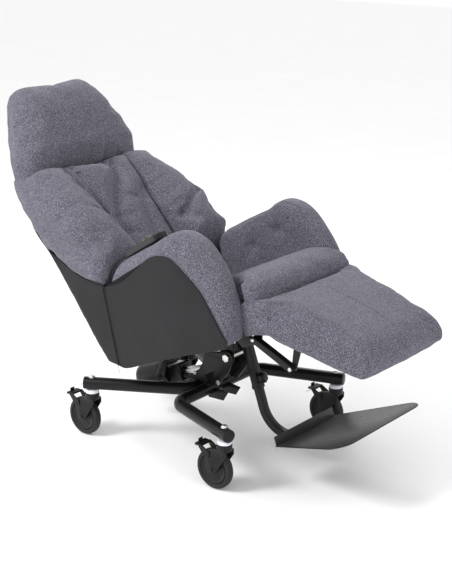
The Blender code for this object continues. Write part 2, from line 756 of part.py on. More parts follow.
def under_pad(distance, depth):
    """A side-view point below the leg rest pad's flat underside, distance along it from its rear edge."""
    along = (PAD_FRONT - PAD_REAR).normalized()
    point = PAD_REAR + along * distance + Vector((0, -along.z, along.y)) * (depth + CLEARANCE)
    return (point.y, point.z)


def leg_frame_mesh():
    """The board under the pad, its hinge sleeves, the two stays with their guide bolts and the lever."""
    board = slab(
        [under_pad(0.004, 0), under_pad(0.205, 0), under_pad(0.205, 0.006), under_pad(0.004, 0.006)],
        -0.165,
        0.165,
    )
    tab = slab(
        [under_pad(0.045, 0.0005), under_pad(0.075, 0.0005), under_pad(0.075, 0.0055), under_pad(0.045, 0.0055)],
        0.160,
        STAY_X + 0.002,
    )
    arm = slab(
        arc((LEG_HINGE.y, LEG_HINGE.z), 0.0095, 40, 200, 6)
        + [(-0.322, 0.082), (-0.3425, 0.060), under_pad(0.040, 0.001), under_pad(0.040, 0.005)]
        + [(-0.335, 0.051), (-0.306, 0.080), (-0.2765, 0.130)],
        0.145,
        0.150,
    )
    stay = flat_bar(GUIDE_BOLT, STAY_FOOT, 0.0105, STAY_X - 0.002, STAY_X + 0.002)
    bracket = slab(
        [
            under_pad(0.047, 0.002), (STAY_FOOT.y + 0.009, STAY_FOOT.z - 0.002),
            (STAY_FOOT.y - 0.004, STAY_FOOT.z - 0.009), under_pad(0.073, 0.002),
        ],
        STAY_X - 0.0065,
        STAY_X - 0.0015,
    )
    guide = across(GUIDE_BOLT.y, GUIDE_BOLT.z, 0.1735, STAY_X + 0.0030, 0.0042, 12)
    guide_head = across(GUIDE_BOLT.y, GUIDE_BOLT.z, STAY_X + 0.0010, STAY_X + 0.0055, 0.0068, 12)
    foot_head = across(STAY_FOOT.y, STAY_FOOT.z, STAY_X - 0.0080, STAY_X + 0.0055, 0.0068, 12)
    sleeve = across(LEG_HINGE.y, LEG_HINGE.z, 0.0905, 0.165, 0.010)
    sided = [tab, arm, stay, bracket, guide, guide_head, foot_head, sleeve]
    lever = flat_bar(LEG_HINGE, LEG_PIN, 0.0080, -ACTUATOR_X - 0.011, -ACTUATOR_X - 0.006)
    pin = across(LEG_PIN.y, LEG_PIN.z, -ACTUATOR_X - 0.008, -ACTUATOR_X + 0.006, 0.004, 12)
    frame = union(board, *[p for piece in sided for p in (piece, mirrored(piece))], lever, pin)
    return cut(frame, across(LEG_HINGE.y, LEG_HINGE.z, -0.2, 0.2, 0.0056))


def flat_bar(start, end, half_width, x_low, x_high):
    """A flat bar with round ends between two points in the side view."""
    along = math.degrees(math.atan2(end.z - start.z, end.y - start.y))
    outline = arc((end.y, end.z), half_width, along - 90, along + 90, 5)
    outline += arc((start.y, start.z), half_width, along + 90, along + 270, 5)
    return slab(outline, x_low, x_high)


def build_leg_rest(leg):
    node("legrest_frame", leg_frame_mesh(), "frame_black", leg, LEG_HINGE)
    node("legrest_pad", leg_pad_mesh(), "fabric_grey", leg, LEG_HINGE)


def footplate_mesh():
    """A flat plate that widens forwards, with a low flange across its rear edge."""
    thickness, rear, front, corner = 0.003, -0.190, -0.488, 0.055
    half_rear, half_front = 0.150, 0.215
    outline = [(-half_rear, rear)]
    for side in (-1, 1):
        start, end = (180, 270) if side < 0 else (270, 360)
        outline += arc((side * (half_front - corner), front + corner), corner, start, end, 6)
    outline.append((half_rear, rear))
    curve = bpy.data.curves.new("plate", "CURVE")
    curve.dimensions = "2D"
    curve.fill_mode = "BOTH"
    curve.extrude = thickness / 2
    spline = curve.splines.new("POLY")
    spline.points.add(len(outline) - 1)
    for point, (x, y) in zip(spline.points, outline):
        point.co = (x, y, 0, 1)
    spline.use_cyclic_u = True
    obj = temporary(curve)
    obj.location.z = FOOT_Z + thickness / 2
    plate = evaluated_mesh(obj)
    flange = box((-0.149, rear - thickness, FOOT_Z + 0.0005), (0.149, rear + 0.0003, FOOT_Z + 0.030))
    return union(plate, flange)


def build_foot_rest(seat):
    outer, inner = 0.014, 0.012
    top = RAIL_Z - RAIL_SIDE / 2 + 0.001 - CLEARANCE
    sleeve = box((-outer, FOOT_TUBE_Y - outer, -0.115), (outer, FOOT_TUBE_Y + outer, top))
    bore = inner + 0.0004
    hollow = box((-bore, FOOT_TUBE_Y - bore, -0.2), (bore, FOOT_TUBE_Y + bore, 0.2))
    thread = cylinder((0, FOOT_TUBE_Y, -0.085), (0, FOOT_TUBE_Y - 0.03, -0.085), 0.0043, 12)
    node("foot_tube_outer", cut(sleeve, hollow, thread), "frame_black", seat)
    run_z = FOOT_Z - inner - CLEARANCE
    path = filleted([(0, FOOT_TUBE_Y, 0.020), (0, FOOT_TUBE_Y, run_z), (0, -0.370, run_z)], 0.100, 7)
    slide = axis_empty("foot_slide_axis", (0, FOOT_TUBE_Y, 0), seat)
    offset = Vector((0, FOOT_TUBE_Y, 0))
    node("foot_tube_inner", tube(path, inner, square=True), "frame_black", slide, offset)
    node("footplate", footplate_mesh(), "footplate_grey", slide, offset)
    start = FOOT_TUBE_Y - inner - 0.0018
    knob = union(
        cylinder((0, start, -0.085), (0, start - 0.014, -0.085), 0.0039, 12),
        cylinder((0, FOOT_TUBE_Y - outer - 0.002, -0.085), (0, FOOT_TUBE_Y - outer - 0.006, -0.085), 0.009, 16),
        cylinder((0, FOOT_TUBE_Y - outer - 0.005, -0.085), (0, FOOT_TUBE_Y - outer - 0.022, -0.085), 0.016, 8, 0.018),
    )
    knob_axis = axis_empty("foot_knob_axis", (0, start, -0.085), seat)
    node("foot_clamp_knob", knob, "motor_black", knob_axis, Vector((0, start, -0.085)))


# Actuators ----------------------------------------------------------------------------------------


def ring(centre, outer, hole, half_width):
    blank = across(centre.y, centre.z, centre.x - half_width, centre.x + half_width, outer)
    return cut(blank, across(centre.y, centre.z, centre.x - 0.02, centre.x + 0.02, hole))


def build_tilt_actuator(seat):
    """Motor and spindle tube on trunnions under the seat's rear; its rod's eye is round the tower's pin."""
    z = TRUNNION.z
    motor = softened(cylinder((0, 0.312, z), (0, 0.438, z), 0.043, 24), 0.006, 2)
    collar = cylinder((0, 0.290, z), (0, 0.314, z), 0.0445, 24)
    gearbox = softened(box((-0.030, 0.232, z - 0.032), (0.030, 0.294, z + 0.030)), 0.006, 2)
    trunnion = across(TRUNNION.y, z, -0.060, 0.060, 0.006)
    bore = cylinder((0, 0.20, z), (0, 0.285, z), 0.0125, 16)
    axis = axis_empty("tilt_actuator_axis", TRUNNION, seat)
    node("tilt_actuator_body", cut(union(motor, collar, gearbox, trunnion), bore), "motor_black", axis, TRUNNION)
    eye = seat_point(TILT_ANCHOR)
    rod = union(
        cylinder((0, eye.y + 0.012, z), (0, 0.280, z), 0.0118, 16),
        ring(eye, 0.0140, 0.0092, 0.008),
    )
    rod = cut(rod, across(eye.y, eye.z, -0.02, 0.02, 0.0092))
    node("tilt_actuator_rod", rod, "zinc", axis, TRUNNION)


def build_small_actuator(name, seat, pin, body_low, body_high, rod_deep, bore_deep):
    """A thin spindle drive along Y: a fixed body and a rod whose eye is round a lever's pin."""
    axis_z = pin.z
    body = cylinder((pin.x, body_low, axis_z), (pin.x, body_high, axis_z), 0.0165, 16)
    middle, top = (body_low + body_high) / 2, RAIL_Z - RAIL_SIDE / 2 + 0.001 - CLEARANCE
    foot = box((pin.x - 0.012, middle - 0.015, axis_z), (pin.x + 0.012, middle + 0.015, top))
    mouth = body_high + 0.01 if pin.y > 0 else body_low - 0.01
    bore = cylinder((pin.x, mouth, axis_z), (pin.x, bore_deep, axis_z), 0.0063, 12)
    node(name + "_body", cut(union(body, foot), bore), "motor_black", seat)
    towards = -0.009 if pin.y > 0 else 0.009
    rod = union(
        cylinder((pin.x, pin.y + towards, axis_z), (pin.x, rod_deep, axis_z), 0.0055, 12),
        ring(pin, 0.0110, 0.0078, 0.0045),
    )
    rod = cut(rod, across(pin.y, pin.z, pin.x - 0.02, pin.x + 0.02, 0.0078))
    node(name + "_rod", rod, "zinc", seat)


def seat_point(world):
    """A world point in the seat's frame, at the resting tilt."""
    return Matrix.Rotation(TILT, 3, "X") @ (world - PIVOT)


# Handset ------------------------------------------------------------------------------------------

HANDSET_LENGTH, HANDSET_WIDTH, HANDSET_HEIGHT = 0.168, 0.046, 0.022
HANDSET_SLOPE = math.atan2(0.038, 0.181)  # the arm's top behind its crest
HANDSET_CENTRE = Vector((-0.258, 0.012, 0.3953))


def handset_place():
    """From the handset's own frame, lying along Y with its foot at z 0, to the seat's frame."""
    return Matrix.Translation(HANDSET_CENTRE) @ Matrix.Rotation(-HANDSET_SLOPE, 4, "X")


def build_handset(seat):
    place = handset_place()
    half_l, half_w = HANDSET_LENGTH / 2, HANDSET_WIDTH / 2
    body = softened(box((-half_w, -half_l, 0), (half_w, half_l, HANDSET_HEIGHT)), 0.005, 2)
    pockets = []
    for row in range(2):
        for column in (-1, 1):
            x, y = column * 0.010, -0.045 + row * 0.026
            pockets.append((x, y))
    deep = HANDSET_HEIGHT - 0.004
    wells = [
        box((x - 0.0068, y - 0.0088, deep), (x + 0.0068, y + 0.0088, HANDSET_HEIGHT + 0.01)) for x, y in pockets
    ]
    body = cut(body, *wells)
    body.transform(place)
    node("handset_body", body, "handset_grey", seat)
    for number, (x, y) in enumerate(pockets, 1):
        button = box((x - 0.0063, y - 0.0083, deep + 0.0018), (x + 0.0063, y + 0.0083, HANDSET_HEIGHT + 0.0015))
        button.transform(place)
        node(f"handset_button_{number}", button, "button", seat)


CABLE_RADIUS = 0.0025
CABLE_ROUTE = [
    (-0.258, 0.0967, 0.3867), (-0.258, 0.104, 0.3852), (-0.261, 0.118, 0.382), (-0.265, 0.133, 0.376),
    (-0.270, 0.149, 0.365), (-0.275, 0.163, 0.350), (-0.279, 0.175, 0.332), (-0.280, 0.182, 0.310),
    (-0.280, 0.184, 0.280), (-0.279, 0.184, 0.245), (-0.276, 0.184, 0.210), (-0.270, 0.184, 0.175),
    (-0.262, 0.183, 0.145), (-0.250, 0.181, 0.119), (-0.232, 0.179, 0.101), (-0.208, 0.176, 0.091),
    (-0.180, 0.172, 0.086), (-0.150, 0.168, 0.085), (-0.120, 0.164, 0.085), (-0.090, 0.162, 0.086),
    (-0.0605, 0.161, 0.087),
]


def smooth_route(points, per_span):
    """A smooth curve through the points, as a chain of short straight steps."""
    points = [Vector(point) for point in points]
    ends = [2 * points[0] - points[1], *points, 2 * points[-1] - points[-2]]
    path = []
    for a, b, c, d in zip(ends, ends[1:], ends[2:], ends[3:]):
        for step in range(per_span):
            t = step / per_span
            path.append(
                0.5 * (2 * b + (c - a) * t + (2 * a - 5 * b + 4 * c - d) * t * t + (3 * b - a - 3 * c + d) * t**3)
            )
    return path + [points[-1]]


def build_cable(seat):
    node("handset_cable", tube(smooth_route(CABLE_ROUTE, 3), CABLE_RADIUS, 8), "cable_black", seat)


def build_chair():
    build_base()
    build_tower()
    build_castors()
    seat = axis_empty("tilt_axis", PIVOT, lean=TILT)
    build_seat(seat)
    build_back(axis_empty("back_axis", BACK_HINGE, seat))
    build_leg_rest(axis_empty("leg_axis", LEG_HINGE, seat))
    build_foot_rest(seat)
    build_tilt_actuator(seat)
    build_small_actuator("back_actuator", seat, BACK_PIN, -0.055, 0.165, 0.105, 0.065)
    build_small_actuator("leg_actuator", seat, LEG_PIN, -0.160, 0.075, -0.080, -0.036)
    build_handset(seat)
    build_cable(seat)


build_chair()
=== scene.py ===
"""Looks of the patient recliner chair: padded fabric, vinyl covers, coated steel, castors and handset."""

import json
import math

import bmesh
import bpy
import numpy as np
from mathutils import Matrix, Vector, noise

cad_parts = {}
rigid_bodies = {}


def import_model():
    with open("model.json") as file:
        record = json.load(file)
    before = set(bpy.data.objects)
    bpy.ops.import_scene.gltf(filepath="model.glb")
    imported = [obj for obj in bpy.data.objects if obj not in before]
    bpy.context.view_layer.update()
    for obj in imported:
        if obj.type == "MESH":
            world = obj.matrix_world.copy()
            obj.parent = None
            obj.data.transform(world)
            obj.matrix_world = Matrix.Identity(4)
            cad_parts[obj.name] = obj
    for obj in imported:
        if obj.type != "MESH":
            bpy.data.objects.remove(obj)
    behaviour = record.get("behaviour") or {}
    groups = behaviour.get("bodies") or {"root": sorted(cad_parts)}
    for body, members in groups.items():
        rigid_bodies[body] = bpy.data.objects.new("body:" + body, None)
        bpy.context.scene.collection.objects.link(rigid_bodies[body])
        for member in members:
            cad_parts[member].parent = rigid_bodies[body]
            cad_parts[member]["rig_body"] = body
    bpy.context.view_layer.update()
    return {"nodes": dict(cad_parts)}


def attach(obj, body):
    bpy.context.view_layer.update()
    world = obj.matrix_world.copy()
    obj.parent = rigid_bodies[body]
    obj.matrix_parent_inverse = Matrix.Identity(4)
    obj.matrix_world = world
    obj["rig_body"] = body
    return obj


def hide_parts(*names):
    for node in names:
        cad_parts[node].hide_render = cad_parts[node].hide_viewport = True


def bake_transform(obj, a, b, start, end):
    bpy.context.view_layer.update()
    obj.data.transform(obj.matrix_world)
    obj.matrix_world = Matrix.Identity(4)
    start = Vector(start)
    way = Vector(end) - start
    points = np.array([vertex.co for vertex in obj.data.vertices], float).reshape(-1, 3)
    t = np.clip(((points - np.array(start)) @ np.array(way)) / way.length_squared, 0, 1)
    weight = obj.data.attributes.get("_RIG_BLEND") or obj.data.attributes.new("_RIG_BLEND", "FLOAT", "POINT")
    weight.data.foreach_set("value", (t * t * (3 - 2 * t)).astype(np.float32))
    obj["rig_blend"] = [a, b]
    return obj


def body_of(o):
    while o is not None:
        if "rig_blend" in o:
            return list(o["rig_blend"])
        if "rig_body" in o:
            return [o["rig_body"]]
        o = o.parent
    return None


for obj in list(bpy.data.objects):
    bpy.data.objects.remove(obj, do_unlink=True)
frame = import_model()
NODES = frame["nodes"]

# The seat shell's own level frame, and where it stands at rest.
TILT = math.radians(19)
PIVOT = Vector((0, -0.110, 0.305))
SEAT = Matrix.Translation(PIVOT) @ Matrix.Rotation(-TILT, 4, "X")
STEMS = {
    "front_right": (-0.285, -0.290),
    "front_left": (0.285, -0.290),
    "rear_right": (-0.240, 0.290),
    "rear_left": (0.240, 0.290),
}


def seat(x, y, z):
    """A point of the seat's frame, in the row frame."""
    return SEAT @ Vector((x, y, z))


def link(name, data):
    obj = bpy.data.objects.new(name, data)
    bpy.context.scene.collection.objects.link(obj)
    return obj


# Camera and the free cable -------------------------------------------------------------------------

camera = link("camera", bpy.data.cameras.new("camera"))
camera.location = (-2.9686, -2.4706, 1.6964)
camera.rotation_euler = (math.radians(90 - 17.083), 0, math.radians(-50.978))
camera.data.lens = 82.2
camera.data.sensor_width = 36
camera.data.clip_end = 60
bpy.context.scene.camera = camera


def smooth_through(points, per_span, closed=False):
    """A smooth curve through the points, as an array of close points."""
    points = np.array([tuple(p) for p in points], float)
    if closed:
        ends = np.vstack([points[-1:], points, points[:2]])
    else:
        ends = np.vstack([2 * points[0] - points[1], points, 2 * points[-1] - points[-2]])
    t = (np.arange(per_span) / per_span)[:, None]
    spans = [
        0.5 * (2 * b + (c - a) * t + (2 * a - 5 * b + 4 * c - d) * t**2 + (3 * b - a - 3 * c + d) * t**3)
        for a, b, c, d in zip(ends, ends[1:], ends[2:], ends[3:])
    ]
    path = np.vstack(spans)
    return path if closed else np.vstack([path, points[-1]])


def evenly(points, count):
    """The same curve as count points an equal distance apart."""
    steps = np.linalg.norm(np.diff(points, axis=0), axis=1)
    along = np.concatenate([[0], np.cumsum(steps)])
    wanted = np.linspace(0, along[-1], count)
    return np.stack([np.interp(wanted, along, points[:, k]) for k in range(points.shape[1])], 1)


def curve_object(name, path, radius, sides=12):
    data = bpy.data.curves.new(name, "CURVE")
    data.dimensions = "3D"
    data.bevel_depth = radius
    data.bevel_resolution = (sides - 4) // 2
    data.use_fill_caps = True
    spline = data.splines.new("POLY")
    spline.points.add(len(path) - 1)
    for point, place in zip(spline.points, path):
        point.co = (*place, 1)
    return link(name, data)


CABLE = [
    (-0.258, 0.0967, 0.3867), (-0.258, 0.104, 0.3852), (-0.261, 0.118, 0.382), (-0.265, 0.133, 0.376),
    (-0.270, 0.149, 0.365), (-0.275, 0.163, 0.350), (-0.279, 0.175, 0.332), (-0.280, 0.182, 0.310),
    (-0.280, 0.184, 0.280), (-0.279, 0.184, 0.245), (-0.276, 0.184, 0.210), (-0.270, 0.184, 0.175),
    (-0.262, 0.183, 0.145), (-0.250, 0.181, 0.119), (-0.232, 0.179, 0.101), (-0.208, 0.176, 0.091),
    (-0.180, 0.172, 0.086), (-0.150, 0.168, 0.085), (-0.120, 0.164, 0.085), (-0.090, 0.162, 0.086),
    (-0.0605, 0.161, 0.087),
]
cable_path = smooth_through([seat(*p) for p in CABLE], 8)
cable = curve_object("handset_lead", cable_path, 0.0025)


# Materials ----------------------------------------------------------------------------------------


def new_material(name, colour, roughness, metallic=0.0):
    """A material with its tree, its shader and the object's own coordinates."""
    material = bpy.data.materials.new(name)
    material.use_nodes = True
    tree = material.node_tree
    shader = tree.nodes["Principled BSDF"]
    shader.inputs["Base Color"].default_value = (*colour, 1)
    shader.inputs["Roughness"].default_value = roughness
    shader.inputs["Metallic"].default_value = metallic
    place = tree.nodes.new("ShaderNodeTexCoord").outputs["Object"]
    return material, tree, shader, place


def noise_of(tree, place, scale, detail=2.0, roughness=0.5, stretch=None):
    if stretch is not None:
        mapping = tree.nodes.new("ShaderNodeMapping")
        mapping.inputs["Scale"].default_value = stretch
        tree.links.new(place, mapping.inputs["Vector"])
        place = mapping.outputs["Vector"]
    node = tree.nodes.new("ShaderNodeTexNoise")
    node.inputs["Scale"].default_value = scale
    node.inputs["Detail"].default_value = detail
    node.inputs["Roughness"].default_value = roughness
    tree.links.new(place, node.inputs["Vector"])
    return node.outputs["Fac"]


def ramp_of(tree, value, stops):
    node = tree.nodes.new("ShaderNodeValToRGB")
    while len(node.color_ramp.elements) < len(stops):
        node.color_ramp.elements.new(0.5)
    for element, (position, colour) in zip(node.color_ramp.elements, stops):
        element.position = position
        element.color = (*colour, 1)
    tree.links.new(value, node.inputs["Fac"])
    return node.outputs["Color"]


def mixed(tree, share, low, high, mode="MIX"):
    """Two colours mixed by a number or a value."""
    node = tree.nodes.new("ShaderNodeMix")
    node.data_type = "RGBA"
    node.blend_type = mode
    if isinstance(share, float):
        node.inputs["Factor"].default_value = share
    else:
        tree.links.new(share, node.inputs["Factor"])
    for colour, socket in ((low, node.inputs[6]), (high, node.inputs[7])):
        if isinstance(colour, tuple):
            socket.default_value = (*colour, 1)
        else:
            tree.links.new(colour, socket)
    return node.outputs[2]


def sum_of(tree, a, b, share):
    """a plus share times b."""
    node = tree.nodes.new("ShaderNodeMath")
    node.operation = "MULTIPLY_ADD"
    tree.links.new(b, node.inputs[0])
    node.inputs[1].default_value = share
    tree.links.new(a, node.inputs[2])
    return node.outputs[0]


def spread(tree, value, low, high):
    node = tree.nodes.new("ShaderNodeMapRange")
    node.inputs["To Min"].default_value = low
    node.inputs["To Max"].default_value = high
    tree.links.new(value, node.inputs["Value"])
    return node.outputs["Result"]


def bump(tree, shader, height, strength, distance):
    node = tree.nodes.new("ShaderNodeBump")
    node.inputs["Strength"].default_value = strength
    node.inputs["Distance"].default_value = distance
    tree.links.new(height, node.inputs["Height"])
    tree.links.new(node.outputs["Normal"], shader.inputs["Normal"])


def heather_fabric():
    """Wool-like upholstery: yarns of three greys, a knobbly weave, a little fuzz."""
    material, tree, shader, place = new_material("heather_fabric", (0.19, 0.18, 0.21), 0.92)
    yarns = ramp_of(
        tree,
        noise_of(tree, place, 560, 2.0, 0.80, (1.0, 1.0, 0.75)),
        [
            (0.36, (0.020, 0.019, 0.029)), (0.46, (0.068, 0.065, 0.088)), (0.55, (0.140, 0.134, 0.168)),
            (0.66, (0.36, 0.35, 0.40)),
        ],
    )
    cross = ramp_of(
        tree,
        noise_of(tree, place, 620, 1.0, 0.5, (0.5, 1.3, 1.3)),
        [(0.35, (0.36, 0.36, 0.37)), (0.52, (0.52, 0.52, 0.52)), (0.70, (0.68, 0.68, 0.67))],
    )
    woven = mixed(tree, 0.75, yarns, cross, "OVERLAY")
    worn = ramp_of(tree, noise_of(tree, place, 14, 3.0), [(0.3, (0.90, 0.90, 0.90)), (0.7, (1.0, 1.0, 1.0))])
    tree.links.new(mixed(tree, 1.0, woven, worn, "MULTIPLY"), shader.inputs["Base Color"])
    shader.inputs["Sheen Weight"].default_value = 0.20
    shader.inputs["Sheen Roughness"].default_value = 0.45
    shader.inputs["Sheen Tint"].default_value = (0.82, 0.82, 0.92, 1)
    shader.inputs["Specular IOR Level"].default_value = 0.15
    weave = sum_of(tree, noise_of(tree, place, 1000, 1.0), noise_of(tree, place, 420, 2.0), 0.9)
    bump(tree, shader, weave, 0.70, 0.0014)
    return material


def vinyl():
    """Matt charcoal coated cloth with a fine leather grain."""
    material, tree, shader, place = new_material("vinyl_cover", (0.043, 0.043, 0.046), 0.5)
    cells = tree.nodes.new("ShaderNodeTexVoronoi")
    cells.feature = "DISTANCE_TO_EDGE"
    cells.inputs["Scale"].default_value = 520
    tree.links.new(place, cells.inputs["Vector"])
    broad = noise_of(tree, place, 5, 3.0)
    tree.links.new(
        ramp_of(tree, broad, [(0.3, (0.0130, 0.0130, 0.0142)), (0.7, (0.0185, 0.0185, 0.0202))]),
        shader.inputs["Base Color"]
    )
    tree.links.new(spread(tree, noise_of(tree, place, 30, 3.0), 0.46, 0.60), shader.inputs["Roughness"])
    grain = sum_of(tree, cells.outputs["Distance"], noise_of(tree, place, 260, 2.0), 0.6)
    bump(tree, shader, grain, 0.30, 0.0006)
    shader.inputs["Specular IOR Level"].default_value = 0.16
    return material


def coated_steel(name, colour, low, high):
    """Powder coat with its slight orange peel."""
    material, tree, shader, place = new_material(name, colour, low)
    tree.links.new(spread(tree, noise_of(tree, place, 60, 3.0), low, high), shader.inputs["Roughness"])
    dusty = tuple(c * 1.5 + 0.004 for c in colour)
    tree.links.new(
        ramp_of(tree, noise_of(tree, place, 9, 4.0), [(0.35, colour), (0.75, dusty)]),
        shader.inputs["Base Color"]
    )
    bump(tree, shader, noise_of(tree, place, 700, 1.0), 0.18, 0.0003)
    shader.inputs["Specular IOR Level"].default_value = 0.24
    return material


def moulded(name, colour, roughness, peel=0.12):
    material, tree, shader, place = new_material(name, colour, roughness)
    lighter = tuple(min(1.0, c * 1.25 + 0.003) for c in colour)
    tree.links.new(
        ramp_of(tree, noise_of(tree, place, 25, 3.0), [(0.3, colour), (0.8, lighter)]),
        shader.inputs["Base Color"]
    )
    tree.links.new(
        spread(tree, noise_of(tree, place, 90, 2.0), roughness - 0.05, roughness + 0.07),
        shader.inputs["Roughness"]
    )
    bump(tree, shader, noise_of(tree, place, 1100, 1.0), peel, 0.00025)
    shader.inputs["Specular IOR Level"].default_value = 0.26
    return material


def zinc_plate():
    material, tree, shader, place = new_material("zinc_plate", (0.70, 0.70, 0.68), 0.3, 1.0)
    tree.links.new(
        ramp_of(
            tree, noise_of(tree, place, 130, 4.0), [(0.3, (0.55, 0.55, 0.53)), (0.7, (0.82, 0.82, 0.80))]
        ),
        shader.inputs["Base Color"],
    )
    tree.links.new(spread(tree, noise_of(tree, place, 220, 3.0), 0.22, 0.42), shader.inputs["Roughness"])
    return material


def plywood():
    material, tree, shader, place = new_material("plywood", (0.35, 0.24, 0.14), 0.7)
    grain = noise_of(tree, place, 18, 6.0, 0.6, (12.0, 1.0, 12.0))
    tree.links.new(
        ramp_of(tree, grain, [(0.3, (0.24, 0.15, 0.08)), (0.7, (0.46, 0.33, 0.20))]),
        shader.inputs["Base Color"]
    )
    bump(tree, shader, grain, 0.2, 0.0005)
    return material


FABRIC, VINYL, ZINC = heather_fabric(), vinyl(), zinc_plate()
STEEL = coated_steel("coated_steel", (0.0050, 0.0050, 0.0056), 0.24, 0.38)
PLATE = coated_steel("coated_plate", (0.030, 0.031, 0.032), 0.34, 0.48)
NYLON = moulded("white_nylon", (0.72, 0.73, 0.80), 0.42)
CASTOR = moulded("castor_black", (0.0060, 0.0060, 0.0068), 0.40)
TYRE = moulded("tyre_grey", (0.0135, 0.0138, 0.0146), 0.58, 0.25)
HUB = moulded("hub_grey", (0.0100, 0.0102, 0.0110), 0.42)
MOTOR = moulded("motor_black", (0.0050, 0.0050, 0.0056), 0.28)
HANDSET = moulded("handset_grey", (0.028, 0.0285, 0.030), 0.42)
RUBBER = moulded("cable_black", (0.010, 0.010, 0.010), 0.46)
KEYS = {
    "key_green": moulded("key_green", (0.40, 0.48, 0.08), 0.45),
    "key_white": moulded("key_white", (0.70, 0.72, 0.72), 0.45),
    "key_violet": moulded("key_violet", (0.22, 0.20, 0.42), 0.45),
}
FINISH = {
    "frame_black": STEEL, "zinc": ZINC, "nylon_white": NYLON, "caster_black": CASTOR, "wheel_grey": TYRE,
    "fabric_grey": FABRIC, "vinyl_charcoal": VINYL, "board": plywood(), "footplate_grey": PLATE,
    "motor_black": MOTOR, "handset_grey": HANDSET, "button": KEYS["key_green"], "cable_black": RUBBER,
}
SLOT = {name: NODES[name].material_slots[0].material.name for name in NODES}
for name, obj in NODES.items():
    obj.material_slots[0].material = FINISH[SLOT[name]]


# Mesh tools ---------------------------------------------------------------------------------------


def finished(obj, material, body, *replaced, slot=None, smooth=40):
    """Gives a new piece its material and its body, and lets it stand for CAD nodes."""
    if material is not None:
        obj.data.materials.clear()
        obj.data.materials.append(material)
    if obj.type == "MESH" and smooth:
        obj.data.shade_smooth()
        if smooth < 180:
            obj.data.set_sharp_from_angle(angle=math.radians(smooth))
    if body is not None:
        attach(obj, body)
    if replaced:
        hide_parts(*replaced)
    return obj


def mesh_from(name, verts, faces):
    mesh = bpy.data.meshes.new(name)
    mesh.from_pydata([tuple(v) for v in verts], [], faces)
    bm = bmesh.new()
    bm.from_mesh(mesh)
    bmesh.ops.remove_doubles(bm, verts=bm.verts, dist=1e-6)
    bmesh.ops.dissolve_degenerate(bm, edges=bm.edges, dist=1e-6)
    bmesh.ops.recalc_face_normals(bm, faces=bm.faces)
    bm.to_mesh(mesh)
    bm.free()
    return mesh


def lofted(name, rings, caps=True):
    """A skin over rows of points, rings[row][point]."""
    rings = np.asarray(rings, float)
    rows, count = rings.shape[:2]
    faces = []
    for r in range(rows - 1):
        for k in range(count):
            n = (k + 1) % count
            faces.append((r * count + k, r * count + n, (r + 1) * count + n, (r + 1) * count + k))
    if caps:
        faces += [tuple(range(count)), tuple((rows - 1) * count + k for k in reversed(range(count)))]
    return mesh_from(name, rings.reshape(-1, 3), faces)


def baked(obj):
    """The object's mesh with its modifiers applied; the object is removed."""
    bpy.context.view_layer.update()
    mesh = bpy.data.meshes.new_from_object(obj.evaluated_get(bpy.context.evaluated_depsgraph_get()))
    mesh.transform(obj.matrix_world)
    bpy.data.objects.remove(obj, do_unlink=True)
    return mesh


def joined(meshes):
    bm = bmesh.new()
    for mesh in meshes:
        bm.from_mesh(mesh)
    out = bpy.data.meshes.new("joined")
    bm.to_mesh(out)
    bm.free()
    return out


def with_modifier(mesh, kind, **settings):
    obj = link("temporary", mesh)
    modifier = obj.modifiers.new(kind.lower(), kind)
    for key, value in settings.items():
        setattr(modifier, key, value)
    return baked(obj)


def points_of(mesh):
    co = np.empty(len(mesh.vertices) * 3, np.float32)
    mesh.vertices.foreach_get("co", co)
    return co.reshape(-1, 3).astype(float)


def normals_of(mesh):
    no = np.empty(len(mesh.vertices) * 3, np.float32)
    mesh.vertex_normals.foreach_get("vector", no)
    return no.reshape(-1, 3).astype(float)


def set_points(mesh, co):
    mesh.vertices.foreach_set("co", np.asarray(co, np.float32).ravel())
    mesh.update()


def to_line(co, line):
    """How far each point is from a chain of straight steps, and how far along the chain it lies."""
    line = np.array([tuple(p) for p in line], float)
    best, along, done = np.full(len(co), 1e9), np.zeros(len(co)), 0.0
    for a, b in zip(line, line[1:]):
        step = b - a
        length = float(np.linalg.norm(step))
        t = np.clip(((co - a) @ step) / (length * length), 0, 1)
        away = np.linalg.norm(co - (a + t[:, None] * step), axis=1)
        nearer = away < best
        best, along = np.where(nearer, away, best), np.where(nearer, done + t * length, along)
        done += length
    return best, along


